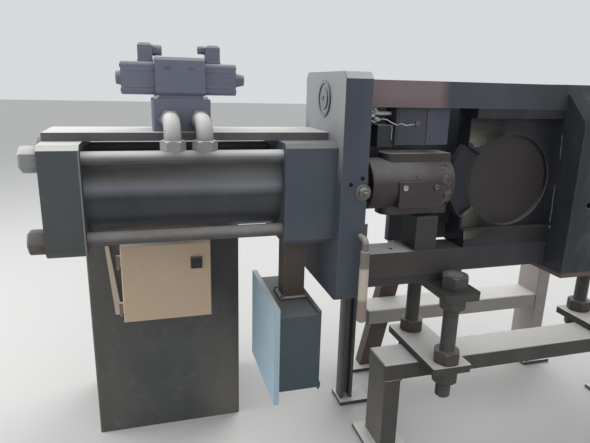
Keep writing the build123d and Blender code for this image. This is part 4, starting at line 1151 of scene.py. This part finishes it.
class STATION_OT_cylinder(bpy.types.Operator):
    """Makes the tie rod nuts and the ferrules of the cylinder"""

    bl_idname = "station.cylinder"
    bl_label = "Cylinder details"

    def execute(self, context):
        low, high = corners("tie_rod_nuts")
        offset = high_corner("tie_rods").y - TIE_ROD_RADIUS
        places = []
        for y, z in product((-offset, offset), repeat=2):
            spin = LOWER_NUT_TURN if z < 0.0 else 0.0
            places.append(at((high.x, y, AXIS_HEIGHT + z), LEFT, spin))
        nuts = repeat("end_nuts", hexagon_nut(END_NUT_FLATS, high.x - low.x), places, "end_nut")
        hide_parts("tie_rod_nuts")

        root = low_corner("manifold")
        collars = []
        for elbow in ("left_hose_elbow", "right_hose_elbow"):
            low, high = corners(elbow)
            place = ((low.x + high.x) / 2, root.y - FERRULE_REACH, root.z + FERRULE_HEIGHT)
            collars.append(soften(drum("collar", *FERRULE, place, FRONT, 36), ROUNDING["ferrule"]))
        settle(join("elbow_ferrules", collars), "elbow")
        return {"FINISHED"}


CROSSHEAD_CHAMFER = 0.014
CROSSHEAD_RISE = 0.013
CROSSHEAD_LAP = 0.002
CROSSHEAD_COVER = 0.0003
CROSSHEAD_BOLT = (-0.1572, 0.757)
BOLT_HEAD = (0.023, 0.011, 1.55)
BOLT_PIN = (0.011, 0.009, (0.0, 0.0, 0.014))
CROSSHEAD_HOLES = ((-0.1601, 0.7878), (-0.1860, 0.7746))
BEAM_HOLE = (-0.0204, -0.0175)
HOLE_DIAMETER = 0.0095
HOLE_DEPTH = 0.0004
BEAM_WELD_GAP = 0.0005
BEAM_WELD_START = 0.004


class STATION_OT_crosshead(bpy.types.Operator):
    """Makes the top, the bolt, the tapped holes and the weld beads of the crosshead and its beams"""

    bl_idname = "station.crosshead"
    bl_label = "Crosshead details"

    def execute(self, context):
        low, high = corners("crosshead")
        pin = soften(drum("pin", *BOLT_PIN, sides=20), ROUNDING["pin"])
        bolt = join("crosshead_bolt", [hexagon_screw(*BOLT_HEAD), pin])
        bolt.data.transform(at((CROSSHEAD_BOLT[0], low.y, CROSSHEAD_BOLT[1]), FRONT))
        settle(bolt, "screw")

        cover = Vector((CROSSHEAD_COVER, CROSSHEAD_COVER, 0.0))
        foot = high.z - CROSSHEAD_CHAMFER
        top = block("crosshead_top", Vector((low.x, low.y, foot - CROSSHEAD_LAP)) - cover,
                    Vector((high.x, high.y, foot + CROSSHEAD_RISE)) + cover)
        choose_faces(top, UP)
        push(UP * CROSSHEAD_CHAMFER)
        bpy.ops.transform.resize(value=(1.0, 1.0 - CROSSHEAD_CHAMFER / high.y, 1.0))
        leave_edit()
        settle(top, "enamel")

        places = [at((x, low.y + HOLE_DEPTH, z), FRONT) for x, z in CROSSHEAD_HOLES]
        places.append(at((*BEAM_HOLE, high_corner("bottom_beam").z - HOLE_DEPTH)))
        hole = drum("hole", HOLE_DIAMETER, HOLE_DEPTH * 2.0)
        recess(hole, UP, HOLE_DIAMETER * 0.1, HOLE_DEPTH * 0.6)
        repeat("open_holes", hole, places, "hole")

        beads = []
        x = high.x + BEAM_WELD_GAP
        for beam in ("top_beam", "bottom_beam"):
            beam_low, beam_high = corners(beam)
            for z in (beam_low.z, beam_high.z):
                beads.append(((x, beam_low.y + BEAM_WELD_START, z), (x, beam_high.y, z)))
        weld_beads("beam_welds", beads, "beam")
        return {"FINISHED"}


COUPLING_RADIUS = 0.0625
COUPLING_BOLT_HEIGHT = 0.749
COUPLING_BOLT = (0.013, 0.005)
COUPLING_BOLTS = (("coupling_left_screws", -0.020, "bright_screw"),
                  ("coupling_right_screws", 0.063, "screw"))
COUPLING_LIP = 0.0035
LIP_SUNK = (0.0015, 0.003)
CRUMBS = 34
CRUMB_SIZE = (0.026, 0.024, 0.013)
CRUMB_SPREAD = (0.010, 0.003)
CRUMB_SWAY = (0.006, 0.001)
CRUMB_ROUGH = 0.75
CRUMB_PLACE = 0.022
CRUMB_SUNK = 0.005
FLUFF_ROUGH = 1.1
TORN_SEED = 77
TORN_SIZE = (0.034, 0.004, 0.008)
TORN_PLACE = (0.026, -0.0588, 0.7690)
TORN_TURN = math.radians(18.0)


class STATION_OT_coupling(bpy.types.Operator):
    """Makes the lip, the clamp screws and the crumbled residue of the coupling"""

    bl_idname = "station.coupling"
    bl_label = "Coupling details"

    def execute(self, context):
        low, high = corners("coupling_lower")
        lip = ring("coupling_lip", COUPLING_RADIUS - LIP_SUNK[1], COUPLING_LIP,
                   (low.x + LIP_SUNK[0], 0.0, AXIS_HEIGHT), RIGHT)
        settle(lip, "coupling", "ram")
        for name, x, finish in COUPLING_BOLTS:
            places = [at((x, low.y, COUPLING_BOLT_HEIGHT), FRONT),
                      at((x, high.y, COUPLING_BOLT_HEIGHT), BACK)]
            repeat(name, cap_screw(*COUPLING_BOLT), places, finish, "ram")

        crumbs = []
        for index in range(CRUMBS):
            angle = 2.0 * math.pi * index / CRUMBS
            wobble = math.sin(index * 2.4)
            size = Vector(CRUMB_SIZE) + Vector((CRUMB_SPREAD[0] * math.cos(index * 1.7), 0.0,
                                                CRUMB_SPREAD[1] * wobble))
            lump = clump(size, index, CRUMB_ROUGH)
            reach = COUPLING_RADIUS - CRUMB_SUNK + CRUMB_SWAY[1] * wobble
            place = Vector((high.x - CRUMB_PLACE + CRUMB_SWAY[0] * math.sin(index * 3.1),
                            reach * math.sin(angle), AXIS_HEIGHT - reach * math.cos(angle)))
            lump.data.transform(Matrix.Translation(place) @ Matrix.Rotation(math.pi + angle, 4, "X"))
            crumbs.append(lump)
        torn = clump(TORN_SIZE, TORN_SEED, FLUFF_ROUGH)
        torn.data.transform(Matrix.Translation(TORN_PLACE) @ Matrix.Rotation(TORN_TURN, 4, "Y"))
        settle(join("coupling_residue", [*crumbs, torn]), "crumbs", "ram")
        return {"FINISHED"}


COVER_MARGIN = 0.006
COVER_PROUD = 0.0010
COVER_CROWN = (0.003, 0.0006)
SWITCH_BUTTON = (0.017, 0.8965)
BUTTON_SIZE = (0.013, 0.0045)
BUTTON_PROUD = 0.0012
BLOCK_SPOT = (0.058, 0.861)
BLOCK_SCREW = (0.007, 0.003)
LOOSE_THREAD = ((-0.099, -0.016, 0.904), (-0.088, -0.024, 0.899), (-0.074, -0.031, 0.907),
                (-0.062, -0.033, 0.905), (-0.052, -0.033, 0.899), (-0.036, -0.032, 0.893),
                (-0.024, -0.0315, 0.896), (-0.012, -0.0315, 0.892), (0.001, -0.0315, 0.8935),
                (0.013, -0.0315, 0.8955))
HANGING_THREAD = ((-0.044, -0.0215, 0.892), (-0.0425, -0.0215, 0.880), (-0.0435, -0.0215, 0.868),
                  (-0.042, -0.0215, 0.858))
FLUFF_LOOPS = (((-0.076, -0.006, 0.920), (-0.083, -0.014, 0.927), (-0.091, -0.020, 0.931),
                (-0.099, -0.022, 0.928), (-0.106, -0.020, 0.921), (-0.104, -0.018, 0.913),
                (-0.095, -0.014, 0.910), (-0.087, -0.008, 0.914), (-0.080, -0.004, 0.918)),
               ((-0.078, -0.004, 0.922), (-0.080, -0.010, 0.932), (-0.076, -0.018, 0.938),
                (-0.070, -0.022, 0.939)),
               ((-0.100, -0.018, 0.912), (-0.097, -0.020, 0.903), (-0.089, -0.022, 0.897),
                (-0.081, -0.020, 0.900)))
WISP_DIAMETERS = (0.0020, 0.0014, 0.0026)
FLUFF_TUFTS = ((-0.084, -0.010, 0.922), (-0.093, -0.016, 0.914), (-0.079, -0.014, 0.905))
TUFT_SIZE = (0.013, 0.009, 0.009)
TUFT_SEED = 40


class STATION_OT_switch(bpy.types.Operator):
    """Makes the cover, the button and the fluff of the limit switch"""

    bl_idname = "station.switch"
    bl_label = "Limit switch details"

    def execute(self, context):
        low, high = corners("limit_switch")
        cover = block("switch_cover", (low.x + COVER_MARGIN, low.y - COVER_PROUD, low.z + COVER_MARGIN),
                      (high.x - COVER_MARGIN, low.y + COVER_PROUD, high.z - COVER_MARGIN))
        crown(cover, FRONT, *COVER_CROWN)
        settle(soften(cover, ROUNDING["cover"]), "switch")
        place = (SWITCH_BUTTON[0], low.y - BUTTON_PROUD, SWITCH_BUTTON[1])
        button = drum("switch_button", *BUTTON_SIZE, place, FRONT)
        settle(soften(button, ROUNDING["button"], 3), "button")
        spot = at((BLOCK_SPOT[0], low_corner("switch_block").y, BLOCK_SPOT[1]), FRONT)
        repeat("switch_block_screw", cap_screw(*BLOCK_SCREW), [spot], "screw")

        wisps = [thread("wisp", LOOSE_THREAD, WISP_DIAMETERS[0]),
                 thread("wisp", HANGING_THREAD, WISP_DIAMETERS[1])]
        wisps += [thread("wisp", points, WISP_DIAMETERS[2]) for points in FLUFF_LOOPS]
        for index, place in enumerate(FLUFF_TUFTS):
            tuft = clump(TUFT_SIZE, index + TUFT_SEED, FLUFF_ROUGH)
            tuft.data.transform(Matrix.Translation(place))
            wisps.append(tuft)
        settle(join("switch_fluff", wisps), "fluff")
        return {"FINISHED"}


SLIDE_FACE = -0.025
TOP_FILM = [(0.1685, 0.893), (0.205, 0.904), (0.262, 0.904), (0.290, 0.8695), (0.262, 0.8605),
            (0.236, 0.846), (0.207, 0.824), (0.186, 0.841), (0.1685, 0.853)]
LOW_FILM = [(0.1775, 0.668), (0.200, 0.688), (0.241, 0.654), (0.252, 0.644), (0.248, 0.631),
            (0.1775, 0.631)]
GUIDE_FILM = [(0.1705, 0.6275), (0.246, 0.6275), (0.232, 0.614), (0.180, 0.607), (0.1705, 0.612)]
EDGE_RADIUS = 0.0015
EDGE_PROUD = 0.0003


class STATION_OT_slide(bpy.types.Operator):
    """Makes the dried plastic on the slide plate and the painted highlight on the edge of its open pocket
    """

    bl_idname = "station.slide"
    bl_label = "Slide plate residue"

    def execute(self, context):
        films = [film("film", outline, SLIDE_FACE) for outline in (TOP_FILM, LOW_FILM)]
        settle(join("slide_residue", films), "residue", "ram")
        smear = film("guide_residue", GUIDE_FILM, low_corner("bottom_guide_strip").y)
        settle(smear, "residue")

        # A ring round the open pocket that carries the painted highlight.
        middle = (POCKET_PLACES[0], SLIDE_FACE + EDGE_RADIUS - EDGE_PROUD, AXIS_HEIGHT)
        edge = ring("pocket_edge", POCKET_RADIUS + EDGE_RADIUS, EDGE_RADIUS, middle, BACK)
        settle(edge, "edge_shine", "ram")
        return {"FINISHED"}


UPPER_DRIP = ((-0.0502, 0.8705), (-0.0512, 0.860), (-0.0530, 0.846), (-0.0525, 0.832), (-0.0550, 0.818),
              (-0.0553, 0.807))
LOWER_DRIP = ((-0.0520, 0.7406), (-0.0532, 0.724), (-0.0525, 0.706), (-0.0540, 0.690), (-0.0548, 0.671),
              (-0.0545, 0.655), (-0.0552, 0.6407))
DRIP_DIAMETERS = (0.0028, 0.0032)
DRIP_PROUD = 0.0004
DRIP_END = (-0.0570, 0.6280)
DRIP_END_SIZE = (0.003, 0.008, 0.010)
DRIP_SEED = 90
DRIP_ROUGH = 0.6
DRIP_END_PROUD = 0.0005
PORT_RIM = (0.1006, 0.0012)


class STATION_OT_housing(bpy.types.Operator):
    """Makes the dried drips and the port rims of the screen housing"""

    bl_idname = "station.housing"
    bl_label = "Housing details"

    def execute(self, context):
        low, high = corners("housing_front")
        drips = []
        for route, diameter in zip((UPPER_DRIP, LOWER_DRIP), DRIP_DIAMETERS):
            drips.append(thread("drip", [(low.x - DRIP_PROUD, y, z) for y, z in route], diameter))
        lump = clump(DRIP_END_SIZE, DRIP_SEED, DRIP_ROUGH)
        lump.data.transform(Matrix.Translation((low.x - DRIP_END_PROUD, *DRIP_END)))
        settle(join("housing_drip", [*drips, lump]), "thread_line")

        rims = []
        for y, axis in ((low.y, FRONT), (high_corner("housing_back").y, BACK)):
            rims.append(ring("rim", *PORT_RIM, ((low.x + high.x) / 2, y, AXIS_HEIGHT), axis))
        settle(join("port_rims", rims), "guide")
        return {"FINISHED"}


STUD_DIAMETER = 0.038
STUD_SIDES = 28
THREAD_OUTER = 0.0392
THREAD_INNER = 0.0372
PLATE_THICKNESS = 0.020
NUT_HEIGHT = 0.034
STUD_CHAMFER = 0.005
RAIL_SHELL = 0.050
CAP_RIM = 0.0015
CAP_PROUD = 0.0018
POST_WIDTH = 0.050
FOOT_PLACES = ((0.0, 0.0), (0.858, 0.0), (0.747, 0.320))
FOOT_BOLT = (0.017, 0.009)
FOOT_BOLT_OFFSET = (0.040, 0.058)


class STATION_OT_table(bpy.types.Operator):
    """Makes the threads, tube caps, weld beads and foot bolts of the table"""

    bl_idname = "station.table"
    bl_label = "Table details"

    def execute(self, context):
        pitch = context.scene.station_sizes.thread_pitch
        stud_low, stud_high = corners("levelling_studs")
        rail_low, rail_high = corners("table_front_rail")
        half = STUD_DIAMETER / 2
        nut_top = rail_high.z + PLATE_THICKNESS + NUT_HEIGHT
        under = rail_low.z + RAIL_SHELL - NUT_HEIGHT
        left_top = high_corner("clamp_plates").z - PLATE_THICKNESS - NUT_HEIGHT
        right_top = low_corner("housing_front").z - NUT_HEIGHT
        sleeves = []
        for (x, top), y in product(((stud_low.x + half, left_top), (stud_high.x - half, right_top)),
                                   (stud_low.y + half, stud_high.y - half)):
            for low, high in ((nut_top, top), (stud_low.z + STUD_CHAMFER, under)):
                sleeve = ridged_bar(THREAD_OUTER, THREAD_INNER, pitch, high - low, STUD_SIDES)
                sleeve.data.transform(Matrix.Translation((x, y, low)))
                sleeves.append(sleeve)
        settle(join("stud_threads", sleeves), "stud")

        rear_low, rear_high = corners("table_rear_rail")
        caps = []
        for x, low, high in ((rail_low.x, rail_low, rail_high), (rail_high.x, rail_low, rail_high),
                             (rear_low.x, rear_low, rear_high)):
            caps.append(block("cap", (x - CAP_PROUD, low.y + CAP_RIM, low.z + CAP_RIM),
                              (x + CAP_PROUD, high.y - CAP_RIM, high.z - CAP_RIM)))
        low, high = corners("rear_upright")
        caps.append(block("cap", (low.x + CAP_RIM, low.y + CAP_RIM, high.z - CAP_PROUD),
                          (high.x - CAP_RIM, high.y - CAP_RIM, high.z + CAP_PROUD)))
        settle(join("tube_caps", [soften(cap, ROUNDING["cap"]) for cap in caps]), "table")

        low, high = corners("table_posts")
        beads = []
        for left, right in ((low.x, low.x + POST_WIDTH), (high.x - POST_WIDTH, high.x)):
            beads += [((left, y, low.z), (right, y, low.z)) for y in (low.y, high.y)]
            beads += [((x, low.y, low.z), (x, high.y, low.z)) for x in (left, right)]
        for x in (low.x + POST_WIDTH, high.x - POST_WIDTH):
            beads.append(((x, low.y, high.z), (x, high.y, high.z)))
        for y in (rear_low.y, rear_high.y):
            beads.append(((rear_high.x, y, rear_low.z), (rear_high.x, y, rear_high.z)))
        weld_beads("table_welds", beads, "table")

        top = high_corner("table_feet").z
        places = []
        for (x, y), side in product(FOOT_PLACES, (-1.0, 1.0)):
            places.append(at((x + side * FOOT_BOLT_OFFSET[0], y + side * FOOT_BOLT_OFFSET[1], top)))
        repeat("foot_bolts", hexagon_screw(*FOOT_BOLT), places, "screw")
        return {"FINISHED"}


LOCK_SIZE = (0.013, 0.0025)
LOCK_RECESS = (0.0025, 0.0015)
SEAL_WIDTH = 0.004
SEAL_PROUD = 0.0006
SEAL_DEPTH = 0.004
SEAL_SIDES = (0.012, 0.002)
BOX_GLANDS = (-0.060, 0.020)
GLAND_NUT = 0.030
GLAND_SLEEVE = 0.024
GLAND_HEIGHT = 0.012
BOX_FOOT_LOW = (-0.001, 0.002, -0.010)
BOX_FOOT_HIGH = (0.006, 0.030, 0.014)
BOX_FOOT_TAPER = (1.0, 0.7, 0.5)
FLANGE_REACH = 0.010
FLANGE_HEIGHT = 0.006
FLANGE_SCREW = (0.008, 0.005)


class STATION_OT_boxes(bpy.types.Operator):
    """Makes the seal, lock, glands and post flange of the enclosure and the junction box"""

    bl_idname = "station.boxes"
    bl_label = "Box details"

    def execute(self, context):
        low, high = corners("door_latch")
        place = ((low.x + high.x) / 2, low.y, (low.z + high.z) / 2)
        lock = drum("latch_lock", *LOCK_SIZE, place, FRONT)
        recess(lock, FRONT, *LOCK_RECESS)
        settle(soften(lock, ROUNDING["lock"]), "black", "door")

        low, high = corners("enclosure_body")
        half = SEAL_WIDTH / 2
        seal = block("door_seal", (low.x + SEAL_SIDES[0], low.y - SEAL_PROUD, low.z + half),
                     (high.x - SEAL_SIDES[1], low.y + SEAL_DEPTH, high.z - half))
        for side in (FRONT, BACK):
            choose_faces(seal, side)
            bpy.ops.mesh.inset(thickness=SEAL_WIDTH)
            bpy.ops.mesh.delete(type="FACE")
            leave_edit()
        enter_edit(seal, "DESELECT")
        bpy.ops.mesh.select_mode(type="EDGE")
        bpy.ops.mesh.select_non_manifold(extend=False)
        bpy.ops.mesh.bridge_edge_loops()
        turn_outwards()
        settle(seal, "black")

        low, high = corners("junction_box")
        glands = []
        for y in BOX_GLANDS:
            place = Vector(((low.x + high.x) / 2, y, low.z))
            nut = drum("nut", GLAND_NUT, GLAND_HEIGHT, place, DOWN, 6)
            throat = drum("throat", GLAND_SLEEVE, GLAND_HEIGHT, place + DOWN * GLAND_HEIGHT, DOWN)
            glands += [soften(nut, ROUNDING["nut"]), soften(throat, ROUNDING["throat"], 3)]
        settle(join("box_glands", glands), "black")
        corner = Vector((high.x, low.y, low.z))
        foot = block("box_foot", corner + Vector(BOX_FOOT_LOW), corner + Vector(BOX_FOOT_HIGH))
        choose_faces(foot, RIGHT)
        bpy.ops.transform.resize(value=BOX_FOOT_TAPER)
        leave_edit()
        settle(soften(foot, ROUNDING["foot"]), "box")

        low, high = corners("junction_post")
        base = Vector((FLANGE_REACH, FLANGE_REACH, 0.0))
        top = low.z + FLANGE_HEIGHT
        flange = block("post_flange", low - base, Vector((high.x, high.y, top)) + base)
        settle(soften(flange, ROUNDING["flange"]), "post")
        half = FLANGE_REACH / 2
        places = [at((x, y, top)) for x, y in product((low.x - half, high.x + half),
                                                      (low.y - half, high.y + half))]
        repeat("post_screws", cap_screw(*FLANGE_SCREW), places, "screw")
        return {"FINISHED"}


ARM_STARTS = (0.030, 0.054)
ARM_THICKNESS = 0.024
ARM_REACH = (-0.060, 0.050)


class STATION_OT_rear(bpy.types.Operator):
    """Makes the weld beads of the arms that carry the cylinder on the column"""

    bl_idname = "station.rear"
    bl_label = "Rear details"

    def execute(self, context):
        low, high = corners("column")
        beads = []
        for start, edge in product((low.x + ARM_STARTS[0], high.x - ARM_STARTS[1]), (0.0, ARM_THICKNESS)):
            beads.append([(start + edge, low.y, AXIS_HEIGHT + reach) for reach in ARM_REACH])
        weld_beads("support_welds", beads, "column")
        return {"FINISHED"}


CAMERA_PLACE = (-0.5990, -1.1338, 0.9811)
CAMERA_YAW = math.radians(16.2206)
CAMERA_PITCH = math.radians(15.1263)
CAMERA_ROLL = math.radians(1.4804)
CAMERA_FOCAL_PIXELS = 510.785
PICTURE_WIDTH = 590.0
SENSOR_WIDTH = 36.0


def add_camera():
    """The camera at the photograph's place: yaw, then pitch down, then roll."""
    data = bpy.data.cameras.new("camera")
    data.sensor_fit = "HORIZONTAL"
    data.sensor_width = SENSOR_WIDTH
    data.lens = CAMERA_FOCAL_PIXELS / PICTURE_WIDTH * SENSOR_WIDTH
    data.clip_start = 0.02
    camera = bpy.data.objects.new("camera", data)
    bpy.context.scene.collection.objects.link(camera)
    level = math.cos(CAMERA_PITCH)
    ahead = Vector((math.sin(CAMERA_YAW) * level, math.cos(CAMERA_YAW) * level, -math.sin(CAMERA_PITCH)))
    side = Vector((math.cos(CAMERA_YAW), -math.sin(CAMERA_YAW), 0.0))
    up = side.cross(ahead)
    rolled_side = side * math.cos(CAMERA_ROLL) + up * math.sin(CAMERA_ROLL)
    rolled_up = up * math.cos(CAMERA_ROLL) - side * math.sin(CAMERA_ROLL)
    turn = Matrix((rolled_side, rolled_up, -ahead)).transposed()
    camera.matrix_world = Matrix.Translation(CAMERA_PLACE) @ turn.to_4x4()
    bpy.context.scene.camera = camera


FLOOR_SIZE = 40.0
FLOOR_MIDDLE = (0.0, 4.0, 0.0)
FLOOR_COLOUR = (0.62, 0.62, 0.60)
FLOOR_ROUGHNESS = 0.7


def add_floor():
    """A plain pale floor."""
    floor = primitive("floor", bpy.ops.mesh.primitive_plane_add, FLOOR_MIDDLE, size=FLOOR_SIZE)
    floor.data.materials.append(Paint("floor_paint").finish(FLOOR_COLOUR, FLOOR_ROUGHNESS))


SKY_COLOUR = (0.95, 0.97, 1.0, 1.0)
SKY_STRENGTH = 0.72
LAMP_TARGET = Vector((0.0, 0.0, 0.6))
# Each lamp: its name, place, size in metres and power in watts.
LAMPS = (
    ("back_light", (1.6, 2.6, 3.2), 3.0, 75.0),
    ("left_light", (-3.2, 0.6, 2.0), 2.5, 70.0),
    ("front_fill", (0.2, -3.2, 1.8), 2.5, 12.0),
)


def add_lights():
    """Soft daylight from above, behind and the left, with a weak fill from the front."""
    world = bpy.data.worlds.new("studio")
    world.use_nodes = True
    background = world.node_tree.nodes["Background"]
    background.inputs["Color"].default_value = SKY_COLOUR
    background.inputs["Strength"].default_value = SKY_STRENGTH
    bpy.context.scene.world = world
    for name, place, size, power in LAMPS:
        data = bpy.data.lights.new(name, "AREA")
        data.shape = "SQUARE"
        data.size = size
        data.energy = power
        lamp = bpy.data.objects.new(name, data)
        turn = (LAMP_TARGET - Vector(place)).to_track_quat("-Z", "Y").to_matrix().to_4x4()
        lamp.matrix_world = Matrix.Translation(place) @ turn
        bpy.context.scene.collection.objects.link(lamp)


class STATION_OT_stage(bpy.types.Operator):
    """Makes the floor, the lights and the camera"""

    bl_idname = "station.stage"
    bl_label = "Stage"

    def execute(self, context):
        add_floor()
        add_lights()
        add_camera()
        return {"FINISHED"}


class STATION_PT_panel(bpy.types.Panel):
    """Lists the settings and the steps in the 3D view's sidebar"""

    bl_idname = "STATION_PT_panel"
    bl_label = "Station"
    bl_space_type = "VIEW_3D"
    bl_region_type = "UI"
    bl_category = "Station"

    def draw(self, context):
        for name in StationLook.__annotations__:
            self.layout.prop(context.scene.station_look, name)
        for name in StationSizes.__annotations__:
            self.layout.prop(context.scene.station_sizes, name)
        for step in STEPS:
            self.layout.operator(step.bl_idname)


STEPS = (STATION_OT_finishes, STATION_OT_valve, STATION_OT_cylinder, STATION_OT_crosshead,
         STATION_OT_coupling, STATION_OT_switch, STATION_OT_slide, STATION_OT_housing, STATION_OT_table,
         STATION_OT_boxes, STATION_OT_rear, STATION_OT_stage)
CLASSES = (StationLook, StationSizes, *STEPS, STATION_PT_panel)


def register():
    """Registers the classes and their settings."""
    for item in CLASSES:
        bpy.utils.register_class(item)
    bpy.types.Scene.station_look = bpy.props.PointerProperty(type=StationLook)
    bpy.types.Scene.station_sizes = bpy.props.PointerProperty(type=StationSizes)


def unregister():
    """Removes the classes and their settings."""
    del bpy.types.Scene.station_sizes
    del bpy.types.Scene.station_look
    for item in reversed(CLASSES):
        bpy.utils.unregister_class(item)


def main():
    """Runs every step in order."""
    register()
    bpy.context.scene.view_settings.view_transform = "Standard"
    for step in STEPS:
        group, action = step.bl_idname.split(".")
        getattr(getattr(bpy.ops, group), action)()


if __name__ == "__main__":
    main()
